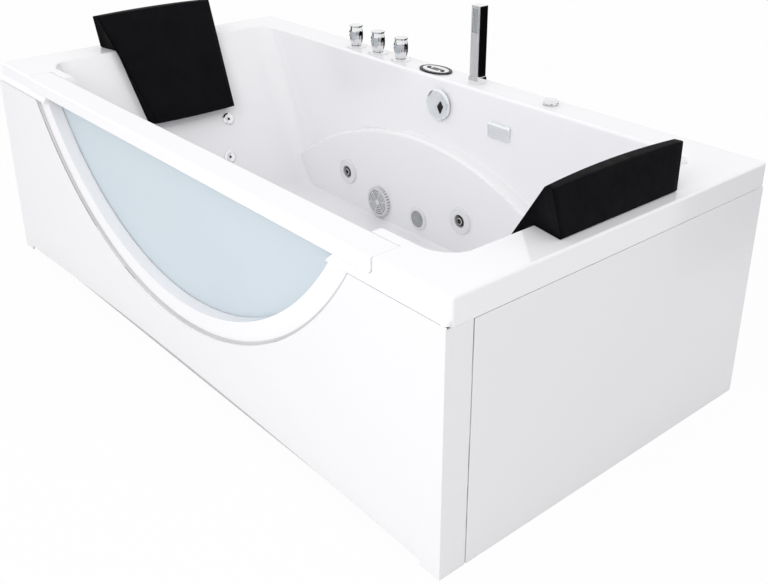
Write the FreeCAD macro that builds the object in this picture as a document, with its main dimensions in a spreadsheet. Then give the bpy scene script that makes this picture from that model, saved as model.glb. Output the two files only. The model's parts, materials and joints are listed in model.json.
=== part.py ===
import FreeCAD, Part

import math
import os

import Sketcher

# A rectangular jetted bathtub with a glass window in its front.
# Millimetres.  +X runs along the tub from the left end to the right end, +Y from the
# window front to the wall side, +Z up.  The origin is on the floor, below the middle.

Vec = FreeCAD.Vector

SIZES = [
    # the tub as a whole
    ("tub_length", 1800), ("tub_width", 910), ("rim_height", 555),
    ("shell_wall", 5), ("lip_depth", 53), ("lip_setback", 10), ("lip_corner", 9),
    ("lip_roll", 5), ("ledge_lift", 6), ("ledge_rise", 8),
    # the basin
    ("end_deck", 102), ("back_deck", 87), ("front_deck", 93), ("basin_depth", 450),
    ("end_slope", 0.6), ("side_slope", 0.06), ("basin_corner", 60), ("floor_roll", 40),
    ("rim_roll", 8), ("arch_radius", 880), ("arch_centre", -20), ("arch_height", 283),
    ("arch_inset", 48), ("arch_roll", 9),
    # the window in the front
    ("window_radius", 712), ("window_sill", 186), ("surround_radius", 770),
    ("surround_sill", 140), ("reveal_depth", 30), ("glass_thickness", 10),
    ("seal_thickness", 2), ("glass_lap", 8), ("glass_gap", 0.5), ("glass_drop", 7),
    ("rail_inset", 189), ("rail_width", 64), ("rail_drop", 31), ("rail_wall", 4.7),
    ("rail_proud", 5), ("rail_gap", 0.8), ("rail_corner", 9), ("rail_edge", 4), ("seat_length", 100),
    # the panels
    ("panel_wall", 4), ("panel_gap", 2), ("panel_edge", 1.5), ("return_length", 62), ("return_gap", 3),
    ("hairline", 0.3), ("apron_gap", 1.5), ("foot_length", 50), ("foot_height", 12),
    ("apron_arch", 18), ("plinth_setback", 15), ("plinth_bottom", 2),
    ("plinth_height", 58), ("screw_radius", 4), ("screw_height", 18),
    # the steel frame
    ("tube_size", 30), ("tube_wall", 2), ("rail_pitch", 480),
    ("outer_inset", 60), ("inner_inset", 450), ("front_post", 45), ("back_post", 35),
    ("board_thickness", 12), ("board_inset", 430), ("board_width", 510),
    ("foot_pad_radius", 22), ("foot_pad_height", 10), ("stem_radius", 6),
    ("nut_radius", 10), ("nut_height", 8), ("stem_overlap", 15), ("clip_size", 30),
    # the headrests
    ("rest_top_width", 368), ("rest_deck_width", 336), ("rest_foot_width", 260),
    ("rest_height", 95), ("rest_top_depth", 19), ("rest_lean", 11.5),
    ("rest_edge_gap", 26.5), ("rest_reach", 190),
    ("rest_thickness", 40), ("rest_blunt", 4), ("rest_crown", 8), ("rest_gap", 0.3),
    ("sucker_radius", 15), ("sucker_height", 7), ("sucker_pitch", 150),
    # what stands on the back deck
    ("deck_line", 43), ("tap_centre", -296), ("tap_pitch", 99), ("tap_flange", 29),
    ("tap_flange_height", 6), ("handle_radius", 20), ("handle_height", 57),
    ("spindle_radius", 5), ("running_gap", 0.05), ("turn_gap", 0.5),
    ("valve_radius", 15), ("valve_depth", 80), ("inlet_radius", 10.5),
    ("inlet_length", 30), ("bezel_length", 106), ("bezel_width", 70),
    ("bezel_height", 4), ("bezel_ring", 9), ("panel_centre", -54),
    ("button_radius", 6), ("button_rise", 2), ("button_travel", 1),
    ("button_pitch", 52), ("display_length", 30), ("display_width", 18),
    ("housing_depth", 30), ("shower_place", 103), ("stick_size", 29.5),
    ("stick_height", 211), ("sleeve_wall", 1.5), ("sleeve_rise", 18),
    ("sleeve_depth", 40), ("spray_length", 66), ("spray_width", 22),
    ("spray_inset", 5),
    ("spray_rise", 1), ("hose_radius", 7), ("hose_drop", 305),
    ("fitting_wall", 2.5), ("air_place", 352), ("air_radius", 19),
    ("air_height", 12), ("air_valve_radius", 16), ("air_valve_depth", 60),
    # what sits in the back wall
    ("overflow_place", 19), ("overflow_drop", 66), ("overflow_radius", 41.5),
    ("overflow_reach", 12), ("overflow_pipe_radius", 18), ("overflow_line", 31),
    ("spout_place", 235), ("spout_drop", 88), ("spout_width", 72),
    ("spout_height", 38), ("spout_reach", 7), ("jet_centre", -87.5),
    ("jet_pitch", 475), ("jet_height", 102), ("jet_radius", 37), ("jet_rise", 7), ("jet_hole", 18),
    ("jet_body_radius", 26), ("jet_body_depth", 35), ("ball_radius", 18), ("ball_depth", 10),
    ("nozzle_radius", 13), ("nozzle_bore", 8), ("ball_gap", 0.4),
    ("suction_place", -180), ("suction_height", 52), ("suction_radius", 45),
    ("suction_face", 40), ("suction_reach", 12), ("light_place", -16),
    ("bezel_radius", 33), ("lens_radius", 24), ("back_jet_radius", 19),
    ("back_jet_upper", 222), ("back_jet_lower", 125), ("upper_pitch", 232),
    ("lower_pitch", 156), ("back_jet_centre", 8), ("back_jet_body", 11),
    # the drain, the pump and the pipes
    ("drain_place", 180), ("drain_radius", 35), ("drain_bore", 25),
    ("plug_radius", 29), ("plug_height", 6), ("plug_stem", 4), ("trap_radius", 30),
    ("waste_radius", 20), ("waste_length", 100), ("waste_height", 38),
    ("waste_side", 90), ("waste_start", 185),
    ("pump_inset", 135), ("pump_height", 154), ("motor_radius", 60),
    ("motor_length", 238), ("volute_front", 88), ("volute_radius", 70),
    ("volute_length", 62), ("volute_wall", 8), ("impeller_radius", 50),
    ("shaft_radius", 7), ("port_rise", 53), ("base_board", 18), ("base_foot", 15),
    ("suction_pipe_radius", 24), ("suction_line", 79), ("main_radius", 16),
    ("main_line", 77), ("upper_run_height", 304),
    ("upper_run_radius", 10), ("air_pipe_radius", 6), ("air_line", 83),
    ("air_run_height", 300), ("bend_radius", 40), ("feed_radius", 8),
    ("feed_line", 67), ("feed_height", 440), ("box_length", 140), ("box_width", 90),
    ("box_height", 80), ("box_inset", 160),
]


class Size:
    """A size that knows its number and its formula in the sheet's cells."""

    def __init__(self, value, formula):
        self.value = float(value)
        self.formula = formula

    def __float__(self):
        return self.value

    def _with(self, other, sign, value):
        return Size(value, "(%s %s %s)" % (self.formula, sign, other.formula))

    def __add__(self, other):
        other = as_size(other)
        return self._with(other, "+", self.value + other.value)

    def __sub__(self, other):
        other = as_size(other)
        return self._with(other, "-", self.value - other.value)

    def __mul__(self, other):
        other = as_size(other)
        return self._with(other, "*", self.value * other.value)

    def __truediv__(self, other):
        other = as_size(other)
        return self._with(other, "/", self.value / other.value)

    def __radd__(self, other):
        return as_size(other) + self

    def __rsub__(self, other):
        return as_size(other) - self

    def __rmul__(self, other):
        return as_size(other) * self

    def __rtruediv__(self, other):
        return as_size(other) / self

    def __neg__(self):
        return Size(-self.value, "(-1 * %s)" % self.formula)


def as_size(value):
    """A plain number as a size, or the size itself."""
    if isinstance(value, Size):
        return value
    return Size(value, "(%r)" % float(value))


def root(size):
    """The square root of a size."""
    return Size(math.sqrt(size.value), "sqrt(%s)" % size.formula)


class Sheet:
    """The driving sizes: each alias of the spreadsheet read as a Size."""

    def __init__(self, doc, rows):
        self.cells = doc.addObject("Spreadsheet::Sheet", "sizes")
        for row, (alias, value) in enumerate(rows, start=1):
            self.cells.set("A%d" % row, alias)
            self.cells.set("B%d" % row, str(value))
            self.cells.setAlias("B%d" % row, alias)
        doc.recompute()

    def __getattr__(self, alias):
        return Size(getattr(self.cells, alias), "sizes." + alias)


doc = FreeCAD.newDocument("jetted_bathtub")
s = Sheet(doc, SIZES)
nodes = {}

TURNS = {
    "+Z": (Vec(0, 0, 1), 0), "-Z": (Vec(1, 0, 0), 180),
    "+Y": (Vec(1, 0, 0), -90), "-Y": (Vec(1, 0, 0), 90),
    "+X": (Vec(0, 1, 0), 90), "-X": (Vec(0, 1, 0), -90),
}


# ---------------------------------------------------------------- building blocks

def bind(thing, path, size):
    """Tie one property to its formula."""
    thing.setExpression(path, as_size(size).formula)


def put(thing, at, axis="+Z", lean=None):
    """Place an object: its local +Z along axis, or turned about +Y by the size lean."""
    turn_axis, turn = TURNS[axis]
    if lean is not None:
        turn_axis, turn = Vec(0, 1, 0), lean.value
    thing.Placement = FreeCAD.Placement(Vec(0, 0, 0), FreeCAD.Rotation(turn_axis, turn))
    for letter, size in zip("xyz", at):
        bind(thing, "Placement.Base." + letter, size)
    if lean is not None:
        bind(thing, "Placement.Rotation.Angle", lean)
    return thing


def node(name, thing):
    """Name an object as a finished sub-part."""
    thing.Label = name
    nodes[name] = thing
    return thing


def box(x, y, z):
    """A box from three (low, high) pairs."""
    thing = doc.addObject("Part::Box", "block")
    for key, (low, high) in zip(("Length", "Width", "Height"), (x, y, z)):
        bind(thing, key, as_size(high) - low)
    return put(thing, (x[0], y[0], z[0]))


def rod(radius, length, at, axis="+Z", lean=None):
    """A round bar that starts at a point and runs along an axis."""
    thing = doc.addObject("Part::Cylinder", "rod")
    bind(thing, "Radius", radius)
    bind(thing, "Height", length)
    return put(thing, at, axis, lean)


def ball(radius, at):
    """A sphere about a point."""
    thing = doc.addObject("Part::Sphere", "ball")
    bind(thing, "Radius", radius)
    return put(thing, at)


def fuse(parts, refine=True):
    """One solid out of several that meet."""
    thing = doc.addObject("Part::MultiFuse", "joined")
    thing.Shapes = parts
    thing.Refine = refine
    return thing


def cut(base, tools):
    """A base with each tool taken away in turn."""
    for tool in tools:
        thing = doc.addObject("Part::Cut", "cut")
        thing.Base = base
        thing.Tool = tool
        base = thing
    return base


def common(first, second):
    """What two solids share."""
    thing = doc.addObject("Part::MultiCommon", "shared")
    thing.Shapes = [first, second]
    return thing


def group(parts):
    """Separate solids kept as one sub-part."""
    thing = doc.addObject("Part::Compound", "set")
    thing.Links = parts
    return thing


def origin_plane(body, role):
    """One of a body's own origin planes."""
    for feature in body.Origin.OriginFeatures:
        if feature.Role == role:
            return feature
    raise ValueError(role)


def new_sketch(body, role, offset=None):
    """A sketch on an origin plane of its body, lifted by the size offset."""
    sketch = body.newObject("Sketcher::SketchObject", "sketch")
    sketch.AttachmentSupport = [(origin_plane(body, role), "")]
    sketch.MapMode = "FlatFace"
    if offset is not None:
        bind(sketch, "AttachmentOffset.Base.z", offset)
    return sketch


def fix(sketch, kind, edge, end, size):
    """Hold one end of a sketch edge at a size from the sketch's origin."""
    size = as_size(size)
    index = sketch.addConstraint(Sketcher.Constraint(kind, -1, 1, edge, end, size.value))
    bind(sketch, "Constraints[%d]" % index, size)


def polygon(sketch, points):
    """A closed outline of straight edges with every corner held by two sizes."""
    points = [(as_size(a), as_size(b)) for a, b in points]
    base = sketch.GeometryCount
    count = len(points)
    for index, (a, b) in enumerate(points):
        c, d = points[(index + 1) % count]
        line = Part.LineSegment(Vec(a.value, b.value, 0), Vec(c.value, d.value, 0))
        sketch.addGeometry(line, False)
    for index in range(count):
        after = base + (index + 1) % count
        sketch.addConstraint(Sketcher.Constraint("Coincident", base + index, 2, after, 1))
    for index, (a, b) in enumerate(points):
        fix(sketch, "DistanceX", base + index, 1, a)
        fix(sketch, "DistanceY", base + index, 1, b)


def rounded(sketch, x, y, radius):
    """A rounded rectangle between two (low, high) pairs."""
    x0, x1, y0, y1 = [float(v) for v in (x[0], x[1], y[0], y[1])]
    r = float(radius)
    quarter = math.pi / 2
    corners = [(x1 - r, y0 + r), (x1 - r, y1 - r), (x0 + r, y1 - r), (x0 + r, y0 + r)]
    sides = [((x0 + r, y0), (x1 - r, y0)), ((x1, y0 + r), (x1, y1 - r)),
             ((x1 - r, y1), (x0 + r, y1)), ((x0, y1 - r), (x0, y0 + r))]
    for turn, (side, corner) in enumerate(zip(sides, corners)):
        start, end = side
        sketch.addGeometry(Part.LineSegment(Vec(*start, 0), Vec(*end, 0)), False)
        circle = Part.Circle(Vec(*corner, 0), Vec(0, 0, 1), r)
        arc = Part.ArcOfCircle(circle, (turn - 1) * quarter, turn * quarter)
        sketch.addGeometry(arc, False)
    for index in range(8):
        sketch.addConstraint(Sketcher.Constraint("Tangent", index, 2, (index + 1) % 8, 1))
    for kind, edges in (("Horizontal", (0, 4)), ("Vertical", (2, 6))):
        for edge in edges:
            sketch.addConstraint(Sketcher.Constraint(kind, edge))
    for edge in (3, 5, 7):
        sketch.addConstraint(Sketcher.Constraint("Equal", 1, edge))
    index = sketch.addConstraint(Sketcher.Constraint("Radius", 1, r))
    bind(sketch, "Constraints[%d]" % index, radius)
    fix(sketch, "DistanceX", 6, 1, x[0])
    fix(sketch, "DistanceX", 2, 1, x[1])
    fix(sketch, "DistanceY", 0, 1, y[0])
    fix(sketch, "DistanceY", 4, 1, y[1])


def new_body():
    return doc.addObject("PartDesign::Body", "body")


def pad(body, sketch, length, reverse=False):
    """Raise a sketch along its plane's normal."""
    feature = body.newObject("PartDesign::Pad", "pad")
    feature.Profile = sketch
    feature.Reversed = reverse
    bind(feature, "Length", length)
    return feature


def turned(profile, at, axis="+Z", lean=None):
    """A turned piece: an outline of (radius, height) corners spun about its own +Z."""
    body = new_body()
    sketch = new_sketch(body, "XZ_Plane")
    polygon(sketch, profile)
    spin = body.newObject("PartDesign::Revolution", "spin")
    spin.Profile = sketch
    spin.ReferenceAxis = (sketch, ["V_Axis"])
    spin.Angle = 360
    return put(body, at, axis, lean)


def slab(x, y, z, radius):
    """A plate with rounded upright corners."""
    body = new_body()
    sketch = new_sketch(body, "XY_Plane", z[0])
    rounded(sketch, x, y, radius)
    pad(body, sketch, as_size(z[1]) - z[0])
    return body


def bar_along_x(profile, low, high):
    """A bar of constant (y, z) outline between two places along X."""
    body = new_body()
    sketch = new_sketch(body, "YZ_Plane", low)
    polygon(sketch, profile)
    pad(body, sketch, as_size(high) - low)
    return body


def round_edges(body, base, radius, chosen):
    """Round the edges of a body's feature that pass a test."""
    doc.recompute()
    names = ["Edge%d" % (index + 1) for index, edge in enumerate(base.Shape.Edges)
             if chosen(edge)]
    feature = body.newObject("PartDesign::Fillet", "round")
    feature.Base = (base, names)
    bind(feature, "Radius", radius)
    return feature


def at_height(height):
    """A test for edges that lie level at a height."""
    def chosen(edge):
        return all(abs(vertex.Z - float(height)) < 0.01 for vertex in edge.Vertexes)
    return chosen


def feature(shape):
    """A piece whose shape is worked out from the sheet's sizes."""
    thing = doc.addObject("Part::Feature", "piece")
    thing.Shape = shape
    return thing


def pipe(points, radius, bend):
    """A round pipe along straight runs joined by tangent arcs."""
    points = [Vec(*[float(v) for v in point]) for point in points]
    radius = float(radius)
    bend = float(bend)
    edges = []
    start = points[0]
    for before, corner, after in zip(points, points[1:], points[2:]):
        back = (before - corner).normalize()
        ahead = (after - corner).normalize()
        turn = math.pi - back.getAngle(ahead)
        trim = bend * math.tan(turn / 2)
        first = corner + back * trim
        last = corner + ahead * trim
        middle_way = (back + ahead).normalize()
        centre = corner + middle_way * (bend / math.cos(turn / 2))
        middle = centre - middle_way * bend
        edges.append(Part.LineSegment(start, first).toShape())
        edges.append(Part.Arc(first, middle, last).toShape())
        start = last
    edges.append(Part.LineSegment(start, points[-1]).toShape())
    path = Part.Wire(edges)
    way = (points[1] - points[0]).normalize()
    ring = Part.Wire([Part.makeCircle(radius, points[0], way)])
    return path.makePipeShell([ring], True, False)


# ---------------------------------------------------------------- shared places

front = -s.tub_width / 2
back = s.tub_width / 2
half_length = s.tub_length / 2
lip_front = front + s.lip_setback
deck_under = s.rim_height - s.shell_wall
lip_bottom = s.rim_height - s.lip_depth
end_x = half_length - s.end_deck
back_y = back - s.back_deck
front_y = lip_front + s.front_deck
floor_top = s.rim_height - s.basin_depth
floor_under = floor_top - s.shell_wall
window_centre = s.window_sill + s.window_radius
surround_centre = s.surround_sill + s.surround_radius
seal_front = lip_front + s.reveal_depth
glass_front = seal_front + s.seal_thickness
glass_back = glass_front + s.glass_thickness
glass_radius = s.window_radius + s.glass_lap - s.glass_gap
recess_radius = s.window_radius + s.glass_lap
rail_front = lip_front - s.rail_proud
rail_back = lip_front + s.rail_width
rail_half = half_length - s.rail_inset
rail_bottom = s.rim_height - s.rail_drop
rail_under = s.rim_height - s.rail_wall
seat_top = rail_under - s.hairline
face_y = back_y - s.arch_inset
deck_y = back - s.deck_line
arch_top = floor_top + s.arch_height
jet_z = floor_top + s.jet_height
suction_z = floor_top + s.suction_height
main_z = s.pump_height + s.port_rise
upper_jet_z = floor_top + s.back_jet_upper
lower_jet_z = floor_top + s.back_jet_lower
jets_x = [s.jet_centre - s.jet_pitch / 2, s.jet_centre + s.jet_pitch / 2]
taps_x = [s.tap_centre - s.tap_pitch, s.tap_centre, s.tap_centre + s.tap_pitch]
overflow_z = s.rim_height - s.overflow_drop
spout_z = s.rim_height - s.spout_drop
end_normal = root(s.end_slope * s.end_slope + 1)
end_lean = Size(90 - math.degrees(math.atan(s.end_slope.value)),
                "(90 deg - atan(%s))" % s.end_slope.formula)
board_top = floor_under - s.hairline
rail_top = board_top - s.board_thickness
cross_top = rail_top - s.tube_size
cross_bottom = cross_top - s.tube_size
half_tube = s.tube_size / 2
outer_cross = half_length - s.outer_inset
inner_cross = half_length - s.inner_inset
pump_x = half_length - s.pump_inset
inner_panel = half_length - s.panel_wall


def end_wall(height):
    """How far out the basin's end walls are at a height."""
    return end_x - s.end_slope * (s.rim_height - height)


def run_place(jet_z, run_z):
    """How far out a pipe run lies so that the jets above meet it squarely."""
    return end_wall(jet_z) + (jet_z - run_z) / s.end_slope


def back_wall(height):
    """Where the upper back wall is at a height."""
    return back_y - s.side_slope * (s.rim_height - height)


def disc_window(radius, centre, low_y, high_y, top):
    """A disc across the front, cut off level at the top: the window's D shape."""
    disc = rod(radius, as_size(high_y) - low_y, (0, low_y, centre), "+Y")
    limit = box((-half_length, half_length), (low_y, high_y), (0, top))
    return common(disc, limit)


# ---------------------------------------------------------------- the tub shell

def basin_block(grow, floor, roll):
    """The basin's outside for a wall of thickness grow, or its hollow when grow is 0."""
    rim = s.rim_height
    side = s.side_slope * (rim - floor)
    ends = s.end_slope * (rim - floor)
    top_x = end_x + grow * end_normal
    low_y, high_y = front_y - grow, back_y + grow
    body = new_body()
    sketch = new_sketch(body, "XZ_Plane", -low_y)
    polygon(sketch, [(-top_x, rim), (top_x, rim), (top_x - ends, floor),
                     (ends - top_x, floor)])
    pad(body, sketch, high_y - low_y, reverse=True)
    over = s.shell_wall
    sketch = new_sketch(body, "YZ_Plane")
    polygon(sketch, [(low_y, rim), (low_y + side, floor), (low_y + side, floor - over),
                     (low_y - over, floor - over), (low_y - over, rim)])
    polygon(sketch, [(high_y, rim), (high_y - side, floor), (high_y - side, floor - over),
                     (high_y + over, floor - over), (high_y + over, rim)])
    pocket = body.newObject("PartDesign::Pocket", "pocket")
    pocket.Profile = sketch
    pocket.Type = "ThroughAll"
    pocket.Midplane = True

    def upright(edge):
        return edge.BoundBox.ZLength > float(rim - floor) - 1
    corners = round_edges(body, pocket, s.basin_corner + grow, upright)
    return body, round_edges(body, corners, roll, at_height(floor))


def basin_hollow(top):
    """The basin's hollow, opened upwards, with the rim rolled over."""
    body = basin_block(s.shell_wall * 0, floor_top, s.floor_roll)[0]
    margin = s.rim_roll * 2
    sketch = new_sketch(body, "XY_Plane", s.rim_height)
    rounded(sketch, (-end_x - margin, end_x + margin), (front_y - margin, back_y + margin),
            s.basin_corner)
    raised = pad(body, sketch, as_size(top) - s.rim_height)
    reach = float(end_x) + 0.5

    def inner_edge(edge):
        outline = edge.BoundBox
        return at_height(s.rim_height)(edge) and max(-outline.XMin, outline.XMax) < reach
    round_edges(body, raised, s.rim_roll, inner_edge)
    return body


def arch_block(radius, face):
    """The armrest arch behind its face, with the edge of its curved ledge rolled."""
    x, z, roll = s.arch_centre, arch_top - s.arch_radius, s.arch_roll
    ring = doc.addObject("Part::Torus", "edge")
    bind(ring, "Radius1", radius - roll)
    bind(ring, "Radius2", roll)
    put(ring, (x, face + roll, z), "+Y")
    disc = fuse([rod(radius - roll, roll * 2, (x, face, z), "+Y"), ring,
                 rod(radius, back - face - roll, (x, face + roll, z), "+Y")])
    limit = box((-half_length, half_length), (face, back), (0, s.rim_height))
    return common(disc, limit)


def deck_holes():
    """Openings in the back deck, the back wall, the ends and the floor."""
    through = s.shell_wall * 8
    low = s.rim_height - through
    holes = [rod(s.valve_radius + s.hairline, through * 2, (x, deck_y, low))
             for x in taps_x]
    holes.append(rod(s.air_valve_radius + s.hairline, through * 2,
                     (s.air_place, deck_y, low)))
    half = s.stick_size / 2 + s.sleeve_wall + s.hairline * 2
    holes.append(box((s.shower_place - half, s.shower_place + half),
                     (deck_y - half, deck_y + half), (low, s.rim_height + through)))
    reach = s.bezel_width / 2 - s.bezel_ring
    holes.append(box((s.panel_centre - reach, s.panel_centre + reach),
                     (deck_y - reach, deck_y + reach), (low, s.rim_height + through)))
    thick = s.arch_inset
    holes.append(rod(s.drain_bore + s.hairline, thick,
                     (s.overflow_place, s.drain_place, floor_top - thick / 2)))
    wall = back_wall(overflow_z)
    holes.append(rod(s.drain_bore + s.hairline, thick,
                     (s.overflow_place, wall - thick / 2, overflow_z), "+Y"))
    half = s.spout_width / 2 - s.shell_wall
    drop = s.spout_height / 2 - s.shell_wall
    holes.append(box((s.spout_place - half, s.spout_place + half),
                     (wall - thick / 2, wall + thick / 2),
                     (spout_z - drop, spout_z + drop)))
    for x, z, radius in [(jets_x[0], jet_z, s.jet_body_radius),
                         (jets_x[1], jet_z, s.jet_body_radius),
                         (s.suction_place, suction_z, s.suction_face - s.shell_wall),
                         (s.light_place, suction_z, s.lens_radius)]:
        holes.append(rod(radius + s.hairline, thick / 2, (x, face_y - thick / 4, z), "+Y"))
    for x, y, z, lean, tail in back_jet_places():
        sign = 1 if x.value < 0 else -1
        depth = s.back_jet_radius
        start = (x - sign * depth / end_normal, y, z - s.end_slope * depth / end_normal)
        holes.append(rod(s.back_jet_body + s.hairline, depth * 2, start, lean=lean))
    return holes


def back_jet_places():
    """Points on the sloping end walls where the small jets sit: lean and tail too."""
    places = []
    rows = ((upper_jet_z, s.upper_pitch, s.upper_run_height, s.upper_run_radius),
            (lower_jet_z, s.lower_pitch, main_z, s.main_radius))
    for side, lean in ((-1, end_lean), (1, -end_lean)):
        for z, pitch, run_z, run_radius in rows:
            tail = (z - run_z) * end_normal / s.end_slope - run_radius - s.hairline
            for hand in (-1, 1):
                places.append((side * end_wall(z), s.back_jet_centre + hand * pitch / 2,
                               z, lean, tail))
    return places


def make_tub_shell():
    """Deck, skirt, window surround and basin, moulded in one sheet."""
    block = new_body()
    sketch = new_sketch(block, "XY_Plane", lip_bottom)
    rounded(sketch, (-half_length, half_length), (lip_front, back), s.lip_corner)
    raised = pad(block, sketch, s.lip_depth)
    round_edges(block, raised, s.lip_roll, at_height(s.rim_height))
    hollow = slab((s.shell_wall - half_length, half_length - s.shell_wall),
                  (lip_front + s.shell_wall, back - s.shell_wall),
                  (lip_bottom - s.shell_wall, deck_under), s.lip_corner - s.shell_wall)
    skirt = cut(block, [hollow])
    ledge_low = lip_bottom + s.ledge_lift
    ledge_top = ledge_low + s.shell_wall
    ledge = bar_along_x([(lip_front, ledge_top + s.ledge_rise), (front, ledge_top),
                         (front, ledge_low), (lip_front + s.shell_wall, ledge_low),
                         (lip_front + s.shell_wall, ledge_top + s.ledge_rise)],
                        s.lip_corner - half_length, half_length - s.lip_corner)
    skin = disc_window(s.surround_radius, surround_centre, lip_front,
                       lip_front + s.shell_wall, ledge_top)
    reveal = disc_window(s.window_radius + s.shell_wall, window_centre, lip_front,
                         seal_front, deck_under)
    inside_y = front_y + s.side_slope * s.basin_depth
    pocket = disc_window(recess_radius + s.shell_wall, window_centre,
                         seal_front - s.shell_wall, inside_y, s.rim_height)
    outer = cut(basin_block(s.shell_wall, floor_under, s.floor_roll + s.shell_wall)[0],
                [arch_block(s.arch_radius - s.shell_wall, face_y + s.shell_wall)])
    seats = []
    for side in (-1, 1):
        low, high = sorted((side * (rail_half + s.shell_wall),
                            side * (rail_half - s.seat_length)), key=float)
        seats.append(box((low, high), (lip_front + s.shell_wall, rail_back + s.shell_wall),
                         (seat_top - s.shell_wall, seat_top)))
        seats.append(box((low, high),
                         (lip_front + s.shell_wall, lip_front + s.shell_wall * 2),
                         (lip_bottom, seat_top)))
    solid = fuse([skirt, ledge, skin, reveal, pocket, outer] + seats, refine=False)
    above = s.rim_height + s.lip_depth
    inner = cut(basin_hollow(above), [arch_block(s.arch_radius, face_y)])
    glass_room = disc_window(recess_radius, window_centre, seal_front, inside_y, above)
    opening = disc_window(s.window_radius, window_centre, front - s.shell_wall,
                          seal_front + s.shell_wall, above)
    gap = s.rail_gap
    rail_top_room = box((-rail_half - gap, rail_half + gap),
                        (front, rail_back + gap), (seat_top, above))
    rail_face = new_body()
    sketch = new_sketch(rail_face, "XZ_Plane", -(lip_front + s.shell_wall))
    rounded(sketch, (-rail_half - gap, rail_half + gap), (rail_bottom - gap, above),
            s.rail_corner + gap)
    pad(rail_face, sketch, s.shell_wall * 3)
    return node("tub_shell", cut(solid, [inner, glass_room, opening, rail_top_room,
                                         rail_face, group(deck_holes())]))


# ---------------------------------------------------------------- window and panels

def make_window():
    """Glass pane, its seal, and the rail that caps them."""
    glass_top = s.rim_height - s.glass_drop
    node("window_glass", disc_window(glass_radius, window_centre, glass_front,
                                     glass_back, glass_top))
    ring = disc_window(glass_radius, window_centre, seal_front, glass_front, glass_top)
    hole = disc_window(s.window_radius + s.glass_gap, window_centre,
                       seal_front - s.shell_wall, glass_back, s.rim_height)
    node("window_seal", cut(ring, [hole]))
    body = new_body()
    sketch = new_sketch(body, "YZ_Plane", -rail_half)
    lip = rail_under - s.rail_wall * 3
    rail_thick = s.rail_wall + s.rail_proud
    polygon(sketch, [(rail_front, rail_bottom), (rail_front, s.rim_height),
                     (rail_back, s.rim_height), (rail_back, lip),
                     (rail_back - s.rail_wall, lip), (rail_back - s.rail_wall, rail_under),
                     (lip_front + s.rail_wall, rail_under),
                     (lip_front + s.rail_wall, rail_bottom)])
    bar = pad(body, sketch, rail_half * 2)

    def top_edge(edge):
        return edge.Length > float(rail_half * 2) - 1 and at_height(s.rim_height)(edge)

    def low_corner(edge):
        return edge.Length < float(rail_thick) + 0.1 and at_height(rail_bottom)(edge) \
            and edge.BoundBox.YLength > 0.1
    bar = round_edges(body, bar, s.rail_edge, top_edge)
    round_edges(body, bar, s.rail_corner, low_corner)
    ends = []
    for side in (-1, 1):
        low, high = sorted((side * (rail_half + s.shell_wall),
                            side * (rail_half - s.seat_length - s.shell_wall)), key=float)
        ends.append(box((low, high),
                        (rail_back - s.rail_wall * 2, rail_back + s.rail_wall),
                        (lip - s.rail_wall, rail_under)))
    node("window_rail", cut(body, ends))


def make_panels():
    """Front panel with its arched cut-out and returns, side panels and plinth."""
    panel_top = lip_bottom - s.panel_gap
    sheet = box((-half_length, half_length), (front, front + s.panel_wall),
                (0, panel_top + s.ledge_lift))
    hole = rod(s.surround_radius + s.apron_gap, s.panel_wall * 3,
               (0, front - s.panel_wall, surround_centre), "+Y")
    span = half_length - s.foot_length
    arch = (span * span + s.apron_arch * s.apron_arch) / (s.apron_arch * 2)
    crown = s.foot_height + s.apron_arch
    under = common(rod(arch, s.panel_wall * 3, (0, front - s.panel_wall, crown - arch), "+Y"),
                   box((-span, span), (front - s.panel_wall, front + s.panel_wall * 2),
                       (-crown, crown * 2)))
    returns = []
    for side in (-1, 1):
        low, high = sorted((side * half_length, side * inner_panel), key=float)
        returns.append(box((low, high), (front, front + s.return_length),
                           (0, lip_bottom - s.hairline)))
    node("front_panel", fuse([cut(sheet, [hole, under])] + returns))
    for side, name in ((-1, "left_panel"), (1, "right_panel")):
        low, high = sorted((side * half_length, side * inner_panel), key=float)
        panel = slab((low, high), (front + s.return_length + s.return_gap, back),
                     (0, panel_top), s.panel_edge)
        round_edges(panel, panel.Tip, s.panel_edge, at_height(panel_top))
        node(name, panel)
    strip_y = front + s.plinth_setback
    node("plinth_strip", box((-span + s.panel_wall, span - s.panel_wall),
                             (strip_y, strip_y + s.panel_wall),
                             (s.plinth_bottom, s.plinth_bottom + s.plinth_height)))
    screws = [rod(s.screw_radius, s.panel_wall, (span * share, strip_y, s.screw_height),
                  "-Y") for share in (-0.88, -0.02, 0.85)]
    node("plinth_screws", group(screws))


# ---------------------------------------------------------------- the steel frame

def square_tube(x, y, z, along):
    """A hollow square tube between (low, high) pairs, open at the ends of one axis."""
    pairs = []
    for index, (low, high) in enumerate((x, y, z)):
        wall = -s.tube_wall if index == along else s.tube_wall
        pairs.append((as_size(low) + wall, as_size(high) - wall))
    return cut(box(x, y, z), [box(*pairs)])


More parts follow.
